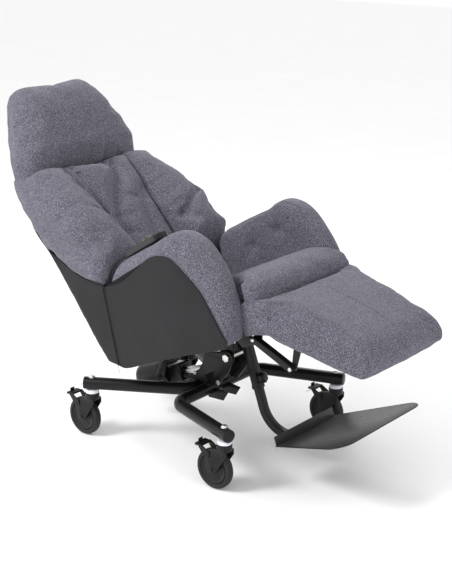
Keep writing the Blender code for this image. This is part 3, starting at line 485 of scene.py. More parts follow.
def puffed(
    mesh, pins=(), pin_width=0.008, pressure=4.0, cap=0.012, voxel=0.006, ease=14, held=None, inset=0.0
):
    """A cushion cover over the mesh: remeshed, eased at its edges and blown up between its sewn lines.
    held(points) says which points rest on something and stay."""
    mesh = with_modifier(mesh, "REMESH", mode="VOXEL", voxel_size=voxel)
    mesh = with_modifier(mesh, "SMOOTH", factor=0.5, iterations=ease)
    if inset:
        set_points(mesh, points_of(mesh) - normals_of(mesh) * inset)
    start = points_of(mesh)
    weight = np.zeros(len(start))
    for line in pins:
        away, _ = to_line(start, line)
        weight = np.maximum(weight, np.clip(1.6 - away / pin_width, 0, 1))
    if held is not None:
        weight = np.maximum(weight, held(start).astype(float))
    obj = link("cover", mesh)
    group = obj.vertex_groups.new(name="sewn")
    for level in np.unique(np.round(weight, 2)):
        if level > 0:
            group.add(np.nonzero(np.round(weight, 2) == level)[0].tolist(), float(level), "REPLACE")
    cloth = obj.modifiers.new("cloth", "CLOTH")
    settings = cloth.settings
    settings.quality = 4
    settings.mass = 0.3
    settings.tension_stiffness = settings.compression_stiffness = 12
    settings.bending_stiffness = 0.4
    settings.use_pressure = True
    settings.uniform_pressure_force = pressure
    settings.effector_weights.gravity = 0
    settings.vertex_group_mass = "sewn"
    cloth.point_cache.frame_start, cloth.point_cache.frame_end = 1, 20
    scene = bpy.context.scene
    for number in range(1, 21):
        scene.frame_set(number)
    end = points_of(obj.evaluated_get(bpy.context.evaluated_depsgraph_get()).data)
    mesh = obj.data.copy()
    bpy.data.objects.remove(obj, do_unlink=True)
    scene.frame_set(1)
    moved = end - start
    far = np.linalg.norm(moved, axis=1, keepdims=True)
    set_points(mesh, start + moved * (cap * np.tanh(far / cap) / np.maximum(far, 1e-9)))
    return with_modifier(mesh, "SUBSURF", levels=1, render_levels=1)


def ramp_up(value, low, high):
    share = np.clip((value - low) / (high - low), 0, 1)
    return share * share * (3 - 2 * share)


def seat_way(x, y, z):
    """A direction of the seat's frame as a unit row, in the row frame."""
    way = np.array(tuple(seat(x, y, z) - seat(0, 0, 0)))
    return way / np.linalg.norm(way)


def pressed(mesh, line, depth, width, pucker=0.0, pitch=0.024, facing=None):
    """Draws the cover in along a sewn line, with small puckers beside it.

    With facing, a direction, the line is laid on the side that faces that way, however deep it lies.
    """
    co, no = points_of(mesh), normals_of(mesh)
    if facing is None:
        away, along = to_line(co, line)
    else:
        line = np.array([tuple(p) for p in line], float)
        away, along = to_line(co - np.outer(co @ facing, facing), line - np.outer(line @ facing, facing))
        away = away + 10 * width * (1 - ramp_up(no @ facing, 0.05, 0.35))
    dip = depth * np.exp(-((away / width) ** 2))
    if pucker:
        wave = np.sin(2 * math.pi * along / pitch + 1.7 * np.sin(along * 61.0)) * pucker
        dip += wave * np.exp(-(((away - 1.2 * width) / (1.6 * width)) ** 2))
    set_points(mesh, co - no * dip[:, None])


def dimpled(mesh, centre, depth, width):
    co, no = points_of(mesh), normals_of(mesh)
    away = np.linalg.norm(co - np.array(tuple(centre)), axis=1)
    set_points(mesh, co - no * (depth * np.exp(-((away / width) ** 2)))[:, None])


def rumpled(mesh, amount, scale, seed=0.0):
    """Slow unevenness of stuffed cloth."""
    co, no = points_of(mesh), normals_of(mesh)
    shift = np.array([noise.noise(Vector(p) * scale + Vector((seed, 0, 0))) for p in co])
    fine = np.array([noise.noise(Vector(p) * scale * 2.7 + Vector((0, seed, 0))) for p in co])
    set_points(mesh, co + no * (amount * (shift + 0.4 * fine))[:, None])


def node_mesh(name):
    return NODES[name].data.copy()


def seat_line(*points, per_span=6):
    return smooth_through([seat(*p) for p in points], per_span)


def flipped(mesh):
    other = mesh.copy()
    other.transform(Matrix.Diagonal((-1, 1, 1, 1)))
    other.flip_normals()
    return other


def around(count):
    """Angles once round a circle."""
    return np.linspace(0, 2 * math.pi, count, endpoint=False)


def rounded(half_wide, half_tall, power, count):
    """A rounded rectangle as pairs; the smaller the power, the squarer."""
    for angle in around(count):
        u, v = math.cos(angle), math.sin(angle)
        yield half_wide * math.copysign(abs(u) ** power, u), half_tall * math.copysign(abs(v) ** power, v)


def bevelled(mesh, width, segments=2, **more):
    return with_modifier(mesh, "BEVEL", width=width, segments=segments, **more)


def box(low, high):
    """A closed box from one corner to the other."""
    corners = [(x, y, z) for x in (low[0], high[0]) for y in (low[1], high[1]) for z in (low[2], high[2])]
    quads = [(0, 1, 3, 2), (4, 6, 7, 5), (0, 4, 5, 1), (2, 3, 7, 6), (0, 2, 6, 4), (1, 5, 7, 3)]
    return mesh_from("box", corners, quads)


def prism(outline, x_low, x_high):
    """A side-view outline of the seat's frame, from one x to another."""
    return lofted("prism", [[seat(x, y, z) for y, z in outline] for x in (x_low, x_high)])


# Armrests -----------------------------------------------------------------------------------------

ARM_CREST = [
    (-0.247, 0.083), (-0.271, 0.124), (-0.277, 0.180), (-0.273, 0.240), (-0.258, 0.305), (-0.232, 0.362),
    (-0.195, 0.405), (-0.150, 0.425), (-0.107, 0.422), (-0.073, 0.4105), (-0.025, 0.4010), (0.025, 0.3925),
    (0.075, 0.3820), (0.121, 0.3710), (0.158, 0.345), (0.168, 0.300), (0.162, 0.240), (0.155, 0.160),
    (0.146, 0.092),
    (0.100, 0.076), (0.000, 0.075), (-0.100, 0.075), (-0.200, 0.075),
]
ARM_SEAM = [
    (-0.248, 0.078), (-0.253, 0.115), (-0.236, 0.175), (-0.213, 0.240), (-0.180, 0.296), (-0.152, 0.332),
    (-0.130, 0.352), (-0.104, 0.364), (-0.080, 0.367), (-0.052, 0.366), (-0.010, 0.352), (0.030, 0.338),
    (0.070, 0.325), (0.110, 0.315), (0.150, 0.310), (0.163, 0.285), (0.160, 0.230), (0.153, 0.155),
    (0.144, 0.094),
    (0.100, 0.078), (0.000, 0.077), (-0.100, 0.077), (-0.200, 0.077),
]


def shell_half_width(y):
    """Half the width over the vinyl, which narrows towards the back, without the kink of a flat pattern."""
    past = (y + 0.05) / 0.44
    return 0.325 - 0.055 * min(0.5 * (past + math.sqrt(past * past + 0.012)), 1) + 0.0008


def arm_mesh():
    crest, seam = (smooth_through(line, 8, closed=True) for line in (ARM_CREST, ARM_SEAM))
    inner = np.array([-0.06, 0.22]) + (crest - [-0.06, 0.22]) * 0.93
    rings = []
    for degrees in (90, 70, 50, 30, 15, 0):
        angle = math.radians(degrees)
        x = 0.244 - 0.026 * math.sin(angle)
        ring = crest + (inner - crest) * (1 - math.cos(angle))
        rings.append([seat(x, y, z) for y, z in ring])
    for degrees in (0, 12, 24, 36, 48, 60, 72, 82, 90):
        angle = math.radians(degrees)
        ring = crest + (seam - crest) * (1 - math.cos(angle))
        reach = math.sin(angle)
        rings.append([seat(0.262 + (shell_half_width(y) - 0.007 - 0.262) * reach, y, z) for y, z in ring])
    return lofted("arm", rings)


def seat_rows(co):
    """The points' places in the seat's frame."""
    back = np.array(SEAT.inverted())
    return co @ back[:3, :3].T + back[:3, 3]


def widths_at(co):
    return np.array([shell_half_width(y) for y in seat_rows(co)[:, 1]])


def build_arms():
    inner_seam = seat_line(
        (0.222, -0.150, 0.418), (0.221, -0.200, 0.392), (0.220, -0.240, 0.345), (0.220, -0.262, 0.290),
        (0.220, -0.268, 0.235), (0.220, -0.266, 0.170), (0.222, -0.250, 0.100),
    )
    top_seam = seat_line(
        (0.222, -0.150, 0.418), (0.222, -0.110, 0.420), (0.222, -0.060, 0.402), (0.222, 0.020, 0.385),
        (0.222, 0.110, 0.366)
    )
    panel_seam = seat_line(*[(0.316, y, z) for y, z in ARM_SEAM[:15]])
    tuck = seat_line(
        (0.222, -0.112, 0.419), (0.262, -0.110, 0.428), (0.296, -0.106, 0.406), (0.316, -0.104, 0.372)
    )
    arm = puffed(
        arm_mesh(), [panel_seam], 0.007, 3.0, 0.0045, 0.0055, 6,
        held=lambda p: p[:, 0] > widths_at(p) - 0.014,
    )
    co = points_of(arm)
    co[:, 0] = np.minimum(co[:, 0], widths_at(co) - 0.0062)
    set_points(arm, co)
    inward = np.array([-1.0, 0.0, 0.0])
    pressed(arm, inner_seam, 0.0035, 0.0060, 0.0003)
    pressed(arm, top_seam, 0.0026, 0.0055, 0.0003)
    pressed(arm, tuck, 0.0020, 0.0050, 0.0002)
    for y, z, depth in ((-0.105, 0.335, 0.010), (0.010, 0.300, 0.009)):
        dimpled(arm, seat(0.214, y, z), depth, 0.018)
        for angle in (20, 75, 140, 205, 260, 320):
            turn = math.radians(angle)
            away = [(r * math.cos(turn), r * math.sin(turn)) for r in (0.008, 0.045)]
            pressed(arm, [seat(0.214, y + v, z + w) for v, w in away], 0.0012, 0.0060, facing=inward)
    rumpled(arm, 0.0020, 12.0, 3.0)
    co = points_of(arm)
    co[:, 0] = np.minimum(co[:, 0], widths_at(co) - 0.0060)
    set_points(arm, co)
    for side, mesh in (("left", arm), ("right", flipped(arm))):
        piece = finished(link("arm_pad_" + side, mesh), FABRIC, "seat_shell", "armrest_" + side, smooth=180)


# Cushions -----------------------------------------------------------------------------------------


def build_seat_cushion():
    low = np.array(tuple(seat(0, 0, 0.149)))
    up = np.array(tuple(seat(0, 0, 1) - seat(0, 0, 0)))
    cover = puffed(
        node_mesh("seat_cushion"), (), 0.008, 4.0, 0.008, 0.006, 10, held=lambda p: (p - low) @ up < 0.001
    )
    rumpled(cover, 0.0030, 9.0, 7.0)
    piece = finished(link("seat_pad", cover), FABRIC, "seat_shell", "seat_cushion", smooth=180)


def build_leg_pad():
    """The leg rest's cushion, with its rear tucked under the seat's front roll and its sides beside it."""
    beside = [
        (-0.366, 0.088), (-0.262, 0.088), (-0.262, 0.180), (-0.300, 0.196), (-0.330, 0.190), (-0.366, 0.166)
    ]
    lobes = [prism(beside, x, x + 0.042) for x in (-0.246, 0.204)]
    tuck = prism(
        [(-0.402, 0.146), (-0.354, 0.180), (-0.318, 0.188), (-0.318, 0.080), (-0.350, 0.080)], -0.234, 0.234
    )
    low = np.array(tuple(seat(0, -0.345, 0.067)))
    down = seat_way(0, 0.113, -0.1817)
    shape = joined([node_mesh("legrest_pad"), tuck, *lobes])
    cover = puffed(shape, (), 0.008, 4.5, 0.012, 0.006, 24, held=lambda p: (p - low) @ down > -0.004)
    middle = seat_line((0, -0.400, 0.155), (0, -0.463, 0.112), (0, -0.540, 0.058), (0, -0.608, 0.006))
    pressed(cover, middle, 0.0022, 0.0045, 0.0005, facing=seat_way(0, -0.55, 0.83))
    for side in (-1, 1):
        edge = seat_line(
            (side * 0.240, -0.310, 0.140), (side * 0.240, -0.350, 0.130), (side * 0.238, -0.400, 0.104),
            (side * 0.228, -0.500, 0.040), (side * 0.214, -0.590, -0.030),
        )
        pressed(cover, edge, 0.0022, 0.0045, 0.0008, facing=np.array([float(side), 0.0, 0.0]))
    rumpled(cover, 0.0026, 9.0, 12.0)
    piece = finished(link("leg_pad", cover), FABRIC, None, smooth=180, slot="fabric_grey")
    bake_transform(piece, "seat_shell", "legrest", seat(0, -0.335, 0.150), seat(0, -0.400, 0.105))
    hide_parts("legrest_pad")


def shifted(mesh, move):
    """The mesh with move applied to its points in the seat's frame, rows of x, y and z."""
    co = seat_rows(points_of(mesh))
    forth = np.array(SEAT)
    set_points(mesh, move(co) @ forth[:3, :3].T + forth[:3, 3])
    return mesh


def build_back_cushion():
    def fuller(co):
        co = co.copy()
        co[:, 2] += 0.020 * ramp_up(co[:, 2], 0.62, 0.68)
        co[:, 1] -= 0.010 * ramp_up(co[:, 2], 0.30, 0.50)
        return co

    front = seat_way(0, -0.93, 0.36)
    folds = [
        seat_line(
            (0.053, 0.387, 0.700), (0.040, 0.380, 0.640), (-0.011, 0.351, 0.576), (-0.050, 0.330, 0.520),
            (-0.070, 0.310, 0.440)
        ),
        seat_line((-0.112, 0.39, 0.690), (-0.105, 0.34, 0.590), (-0.112, 0.30, 0.480), (-0.110, 0.25, 0.380)),
        seat_line((0.100, 0.350, 0.560), (0.060, 0.320, 0.490), (0.050, 0.272, 0.410)),
    ]
    cover = puffed(shifted(node_mesh("back_cushion"), fuller), (), 0.008, 5.0, 0.020, 0.006, 12, inset=-0.003)
    for fold, depth, width in zip(folds, (0.024, 0.024, 0.011), (0.024, 0.018, 0.022)):
        pressed(cover, fold, depth, width, facing=front)
    for x, z in ((-0.058, 0.500), (0.010, 0.560), (-0.066, 0.430)):
        pucker = seat_line((x - 0.034, 0.3, z - 0.016), (x, 0.3, z), (x + 0.036, 0.3, z - 0.012))
        pressed(cover, pucker, 0.0045, 0.013, facing=front)
    rumpled(cover, 0.0040, 9.0, 21.0)
    piece = finished(link("back_pad", cover), FABRIC, "back", "back_cushion", smooth=180)


def build_bolsters():
    def fuller(co):
        co = co.copy()
        outer = ramp_up(co[:, 0], 0.19, 0.26)
        wide = np.array([shell_half_width(y) for y in co[:, 1]]) - 0.011
        co[:, 0] += outer * np.maximum(wide + 0.008 - 0.262, 0.004)
        co[:, 2] += 0.018 * ramp_up(co[:, 2], 0.62, 0.69)
        co[:, 0] -= 0.006 * (1 - ramp_up(co[:, 0], 0.148, 0.17))
        bottom = (1 - ramp_up(co[:, 2] - 0.75 * co[:, 1], 0.10, 0.22)) * ramp_up(co[:, 1], 0.17, 0.22)
        co[:, 2] -= 0.016 * bottom
        co[:, 1] += 0.010 * bottom
        tip = 1 - ramp_up(co[:, 1], 0.130, 0.205)
        co[:, 1] += 0.020 * tip
        co[:, 2] -= 0.006 * tip
        rear = ramp_up(co[:, 1] - 0.36 * co[:, 2], 0.22, 0.26)
        corner = ramp_up(co[:, 0], 0.222, 0.245) * ramp_up(co[:, 2], 0.42, 0.52)
        corner = corner * (1 - ramp_up(co[:, 2], 0.62, 0.69))
        co[:, 1] += (0.010 + 0.016 * corner) * rear
        co[:, 0] -= 0.010 * ramp_up(co[:, 2], 0.58, 0.68) * outer
        return co

    def inside_cover(mesh):
        """Keeps the bolster inside the vinyl's wing and in front of its rear panel."""
        co = points_of(mesh)
        rows = seat_rows(co)
        hem = np.interp(rows[:, 1], [0.19, 0.30, 0.42, 0.47], [0.318, 0.360, 0.455, 0.550])
        wing = 1 - ramp_up(rows[:, 2] - hem, 0.0, 0.012)
        limit = widths_at(co) - 0.0088
        rows[:, 0] = np.where(wing > 0, np.minimum(rows[:, 0], limit + 0.02 * (1 - wing)), rows[:, 0])
        panel = np.interp(
            rows[:, 2], [0.090, 0.150, 0.548, 0.608, 0.668, 0.736], [0.296, 0.325, 0.470, 0.500, 0.524, 0.538]
        )
        side = np.interp(
            rows[:, 2], [0.09, 0.548, 0.600, 0.650, 0.700], [0.2690, 0.2630, 0.2450, 0.2200, 0.2020]
        )
        behind = panel - 0.007 - 0.018 * ramp_up(rows[:, 0], side - 0.032, side - 0.004)
        behind += 0.060 * ramp_up(rows[:, 0], side + 0.001, side + 0.016)
        rows[:, 1] = np.minimum(rows[:, 1], behind)
        forth = np.array(SEAT)
        set_points(mesh, rows @ forth[:3, :3].T + forth[:3, 3])

    shape = shifted(node_mesh("bolster_left"), fuller)
    crease = seat_line(
        (0.275, 0.235, 0.520), (0.240, 0.215, 0.518), (0.205, 0.200, 0.505), (0.165, 0.185, 0.480),
        (0.146, 0.205, 0.462)
    )
    rear = seat_line((0.262, 0.350, 0.385), (0.262, 0.430, 0.480), (0.262, 0.500, 0.640))
    front = seat_way(0, -0.80, 0.60)
    cover = puffed(shape.copy(), (), 0.008, 5.5, 0.020, 0.006, 7, inset=-0.002)
    pressed(cover, crease, 0.0150, 0.0120, 0.0004, 0.034, facing=front)
    pressed(cover, seat_line((0.150, 0.180, 0.470), (0.172, 0.170, 0.440)), 0.012, 0.016, facing=front)
    pressed(cover, rear, 0.0030, 0.0060)
    rumpled(cover, 0.0035, 10.0, 31.0)
    inside_cover(cover)
    other = puffed(shape, (), 0.008, 5.5, 0.020, 0.006, 7, inset=-0.002)
    faint = seat_line((0.268, 0.300, 0.560), (0.220, 0.245, 0.556), (0.150, 0.245, 0.520))
    pressed(other, faint, 0.0035, 0.014, facing=front)
    pressed(other, rear, 0.0030, 0.0060)
    rumpled(other, 0.0035, 10.0, 41.0)
    inside_cover(other)
    for side, mesh in (("left", cover), ("right", flipped(other))):
        piece = finished(link("bolster_pad_" + side, mesh), FABRIC, "back", "bolster_" + side, smooth=180)


def build_head_cushion():
    def tucked(co):
        co = co.copy()
        low = 1 - ramp_up(co[:, 2], 0.690, 0.745)
        front = 1 - ramp_up(co[:, 1], 0.43, 0.50)
        co[:, 1] += 0.020 * low * front
        co[:, 2] -= 0.014 * low
        return co

    cover = puffed(shifted(node_mesh("head_cushion"), tucked), (), 0.008, 4.5, 0.014, 0.006, 8, inset=-0.001)
    pinch = seat_line(
        (0.070, 0.420, 0.672), (0.075, 0.409, 0.705), (0.078, 0.410, 0.740), (0.086, 0.412, 0.764)
    )
    front = seat_way(0, -1, 0.1)
    pressed(cover, pinch, 0.0060, 0.012, facing=front)
    pressed(
        cover, seat_line((-0.10, 0.418, 0.682), (-0.118, 0.405, 0.715), (-0.130, 0.408, 0.750)), 0.0030,
        0.012, facing=front
    )
    rumpled(cover, 0.0026, 8.0, 51.0)
    piece = finished(link("head_pad", cover), FABRIC, "back", "head_cushion", smooth=180)


# Vinyl covers -------------------------------------------------------------------------------------

VINYL_THICKNESS = 0.003
PANEL = [
    (-0.256, 0.074), (-0.168, 0.073), (-0.050, 0.072), (0.043, 0.066), (0.178, 0.054), (0.2215, 0.062),
    (0.195, 0.312), (0.146, 0.311), (0.097, 0.317), (0.028, 0.341), (-0.050, 0.370), (-0.104, 0.367),
    (-0.137, 0.349), (-0.170, 0.309), (-0.208, 0.252), (-0.228, 0.201), (-0.250, 0.124), (-0.264, 0.093),
]


def sheet_between(name, lower, upper, rows, columns, outward):
    """A sheet ruled between two side-view lines; outward(y, z, u, v) is its outer face's x."""
    low, high = evenly(smooth_through(lower, 6), columns), evenly(smooth_through(upper, 6), columns)
    shares = [0.0, 0.006, 0.016, *np.linspace(0.03, 0.97, rows - 6), 0.984, 0.994, 1.0]
    outer, inner = [], []
    for v in shares:
        line = low + (high - low) * v
        row_out, row_in = [], []
        for k, (y, z) in enumerate(line):
            u = k / (columns - 1)
            x = outward(y, z, u, v)
            row_out.append(seat(x, y, z))
            row_in.append(seat(x - VINYL_THICKNESS, y, z))
        outer.append(row_out)
        inner.append(row_in)
    rings = [row + row_in[::-1] for row, row_in in zip(outer, inner)]
    return lofted(name, rings)


def turned_edge(share, width):
    """0 inside the sheet, 1 at its very edge."""
    return max(0.0, 1 - min(share, 1 - share) / width) ** 2


def build_side_panels():
    lower, upper = PANEL[:6], PANEL[:5:-1]

    def outward(y, z, u, v):
        bulge = 0.0035 * math.sin(math.pi * min(max(v, 0), 1)) * math.sin(math.pi * u)
        ripple = 0.0010 * noise.noise(Vector((y * 9, z * 7, 1.3)))
        edge = 0.0022 * turned_edge(v, 0.05) + 0.0015 * turned_edge(u, 0.03)
        return shell_half_width(y) - 0.0012 + bulge * 0.3 + ripple - edge

    panel = sheet_between("panel", lower, upper, 40, 110, outward)
    above_edge = evenly(smooth_through([(y, z + 0.011) for y, z in lower], 6), 90)
    hem = [seat(shell_half_width(y) - 0.0008, y, z) for y, z in above_edge]
    pressed(panel, hem, 0.0010, 0.0022)
    for side, mesh in (("left", panel), ("right", flipped(panel))):
        finished(link("side_cover_" + side, mesh), VINYL, "seat_shell", "side_panel_" + side, smooth=60)


def cover_ring(front, corner, half_front, half_rear, radius, count):
    """One level of the cover as a round-cornered U in plan, from the left front to the right front."""
    side = [front + (corner - front) * s for s in np.linspace(0, 1, 30)]
    side = np.array([[half_front(y), y, z] for y, z in side])
    side[-1, 0] = half_rear
    rear = np.array([[half_rear * (1 - s), corner[0], corner[1]] for s in np.linspace(0, 1, 30)])
    line = np.vstack([side, rear[1:]])
    keep = np.linalg.norm(line - line[29], axis=1) > radius
    before, after = line[:29][keep[:29]], line[30:][keep[30:]]
    a, c, b = before[-1] if len(before) else line[0], line[29], after[0]
    t = np.linspace(0, 1, 9)[:, None]
    bend = (1 - t) ** 2 * a + 2 * t * (1 - t) * c + t**2 * b
    line = np.vstack([before, bend[1:-1], after])
    line = evenly(line, count)
    right = line[::-1][1:].copy()
    right[:, 0] *= -1
    return np.vstack([line, right])


# Heights, and half the rear panel's width at each.
COVER_WIDTHS = [0.090, 0.548, 0.600, 0.650, 0.700, 0.925], [0.2690, 0.2630, 0.2450, 0.2200, 0.2020, 0.1300]


def build_cover():
    """One sheet round the back: two side wings, a rear panel, and a narrowing tongue behind the head."""
    zip_edge = evenly(np.array([(0.2225, 0.064), (0.1965, 0.316)]), 34)
    hem = [(0.1965, 0.316), (0.250, 0.332), (0.314, 0.364), (0.385, 0.420), (0.428, 0.463), (0.455, 0.512)]
    hem = evenly(smooth_through(hem, 8), 40)
    front = np.vstack([zip_edge, hem[1:]])
    corner = evenly(np.array([(0.296, 0.090), (0.325, 0.150), (0.470, 0.548)]), len(front))
    top_front = [
        (0.455, 0.512), (0.482, 0.585), (0.512, 0.660), (0.528, 0.730), (0.543, 0.820), (0.556, 0.920)
    ]
    top_corner = [
        (0.470, 0.548), (0.500, 0.608), (0.524, 0.668), (0.538, 0.736), (0.552, 0.824), (0.565, 0.925)
    ]
    front = np.vstack([front, evenly(smooth_through(top_front, 6), 40)[1:]])
    corner = np.vstack([corner, evenly(smooth_through(top_corner, 6), 40)[1:]])
    outer, inner = [], []
    for (fy, fz), (cy, cz) in zip(front, corner):
        widest = np.interp(cz, *COVER_WIDTHS)
        for out, rows in ((0.0, outer), (VINYL_THICKNESS, inner)):
            ring = cover_ring(
                np.array([fy, fz]), np.array([cy - out, cz]),
                lambda y: min(shell_half_width(y) - 0.0050, widest + max(0.0, cy - y) * 0.4) - out,
                min(widest, shell_half_width(cy) - 0.005) - out,
                min(0.026, (cy - fy) * 0.8),
                70,
            )
            rows.append([seat(*p) for p in ring])
    rings = [a + b[::-1] for a, b in zip(outer, inner)]
    cover = lofted("cover", rings)
    rumpled(cover, 0.0012, 6.0, 61.0)
    piece = finished(link("back_vinyl", cover), VINYL, None, smooth=50, slot="vinyl_charcoal")
    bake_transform(piece, "seat_shell", "back", seat(0, 0.2100, 0.18), seat(0, 0.3000, 0.19))
    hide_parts("back_cover")


# Detailed steel and moulded parts -----------------------------------------------------------------

# The base tubes' centre height, and a castor's wheel: how far behind its stem, and its radius.
TUBE_LEVEL = 0.181
CASTOR_TRAIL = 0.035
WHEEL_RADIUS = 0.0625



def edged(name, width):
    """A CAD node's shape with its edges broken, standing for the node."""
    bm = bmesh.new()
    bm.from_mesh(NODES[name].data)
    bmesh.ops.remove_doubles(bm, verts=bm.verts, dist=1e-6)
    mesh = bpy.data.meshes.new(name)
    bm.to_mesh(mesh)
    bm.free()
    mesh = bevelled(mesh, width, limit_method="ANGLE", angle_limit=math.radians(40), harden_normals=False)
    body = body_of(NODES[name])
    body = body if isinstance(body, str) else body[0]
    finished(link(name + "_detail", mesh), FINISH[SLOT[name]], body, name, smooth=35)


def turned(profile, steps=48):
    """A solid of revolution about Z from (radius, height) points."""
    rings = []
    for radius, height in profile:
        radius = max(radius, 1e-5)
        rings.append([(radius * math.cos(a), radius * math.sin(a), height) for a in around(steps)])
    return lofted("turned", rings)


def shaped(mesh, place):
    mesh.transform(place)
    return mesh


def pill(radius, height, dome=0.3):
    """A low dome, flat underneath, standing on z 0."""
    steps = [(0, 0), (radius, 0), (radius, height * (1 - dome))]
    for a in np.linspace(0.3, math.pi / 2, 6):
        steps.append((radius * math.cos(a), height * (1 - dome) + height * dome * math.sin(a)))
    return turned(steps, 28)


def along_x(mesh, x, y, z, side=1):
    """Lays a piece that stands on Z along X, facing the chair's side."""
    turn = Matrix.Rotation(side * math.pi / 2, 4, "Y")
    return shaped(mesh, Matrix.Translation((x, y, z)) @ turn)


def hex_bolt(radius, height):
    """A hexagon head on a round flange."""
    flange = pill(radius * 1.25, height * 0.35, 0.5)
    rings = []
    for r, z in (
        (radius, height * 0.2), (radius, height * 0.85), (radius * 0.86, height), (radius * 0.5, height)
    ):
        rings.append([(r * math.cos(a), r * math.sin(a), z) for a in around(6)])
    return joined([flange, lofted("hex", rings)])


def filleted(corners, radius, steps=16):
    """The path through the corners, with each inner corner rounded."""
    corners = [Vector(corner) for corner in corners]
    path = [corners[0]]
    for before, corner, after in zip(corners, corners[1:], corners[2:]):
        back, ahead = (before - corner).normalized(), (after - corner).normalized()
        half = back.angle(ahead) / 2
        centre = corner + (back + ahead).normalized() * (radius / math.sin(half))
        start = corner + back * (radius / math.tan(half)) - centre
        end = corner + ahead * (radius / math.tan(half)) - centre
        turn = start.angle(end)
        for i in range(steps + 1):
            mixed_way = start * math.sin((1 - i / steps) * turn) + end * math.sin(i / steps * turn)
            path.append(centre + mixed_way / math.sin(turn))
    return path + [corners[-1]]


def round_tube(path, radius, sides=40):
    mesh = baked(curve_object("tube", path, radius, sides))
    bm = bmesh.new()
    bm.from_mesh(mesh)
    bmesh.ops.remove_doubles(bm, verts=bm.verts, dist=1e-6)
    bmesh.ops.recalc_face_normals(bm, faces=bm.faces)
    bm.to_mesh(mesh)
    bm.free()
    return mesh


def build_base():
    for name, stem, bend in (
        ("base_front_tube", (0.285, -0.290), (0.195, -0.027)),
        ("base_rear_tube", (0.240, 0.290), (0.084, 0.0133)),
    ):
        leg = Vector((stem[0] - bend[0], stem[1] - bend[1], 0)).normalized()
        end = Vector((*stem, TUBE_LEVEL)) + leg * 0.0235
        corners = [(-end.x, end.y), (-bend[0], bend[1]), bend, (end.x, end.y)]
        corners = [(*corner, TUBE_LEVEL) for corner in corners]
        meshes = [round_tube(filleted(corners, 0.055), 0.020)]
        if name == "base_front_tube":
            outline = [(-0.012, 0.168), (-0.050, 0.185), (-0.098, 0.179), (-0.080, 0.150), (-0.022, 0.148)]
            for low, high in ((-0.034, -0.029), (0.029, 0.034)):
                plate = lofted("gusset", [[(x, y, z) for y, z in outline] for x in (low, high)])
                meshes.append(bevelled(plate, 0.0008))
        finished(link(name + "_pipe", joined(meshes)), STEEL, "base", name)
        plugs = []
        for side in (-1, 1):
            way = Vector((side * leg.x, leg.y, 0))
            cap = turned([
                (0, -0.004), (0.0185, -0.004), (0.0185, 0), (0.0198, 0), (0.0198, 0.0016), (0.0185, 0.0024),
                (0, 0.0026)
            ], 40)
            turn = way.to_track_quat("Z", "Y").to_matrix().to_4x4()
            plugs.append(shaped(cap, Matrix.Translation((side * end.x, end.y, TUBE_LEVEL)) @ turn))
        finished(link(name + "_plugs", joined(plugs)), CASTOR, "base", slot="caster_black")


def castor_wheel():
    """Tyre and hub of one wheel, turned about X, centred on the axle."""
    tyre = [
        (0.0472, 0.0092), (0.0480, 0.0112), (0.0500, 0.0124), (0.0545, 0.0128), (0.0585, 0.0118),
        (0.0610, 0.0088), (0.0622, 0.0048), (0.0625, 0),
    ]
    tyre = tyre + [(r, -x) for r, x in reversed(tyre[:-1])]
    hub = [
        (0.0044, 0.0132), (0.0115, 0.0132), (0.0130, 0.0118), (0.0145, 0.0085), (0.0200, 0.0068),
        (0.0330, 0.0066),
        (0.0390, 0.0080), (0.0425, 0.0108), (0.0445, 0.0114), (0.0458, 0.0100), (0.0464, 0.0070),
        (0.0475, 0.0060),
    ]
    hub = hub + [(r, -x) for r, x in reversed(hub)]
    meshes = []
    for profile in (tyre, hub):
        rings = [
            [(x, r * math.cos(a), r * math.sin(a)) for a in around(72)]
            for r, x in profile + profile[:1]
        ]
        meshes.append(lofted("wheel", rings, caps=False))
    return meshes


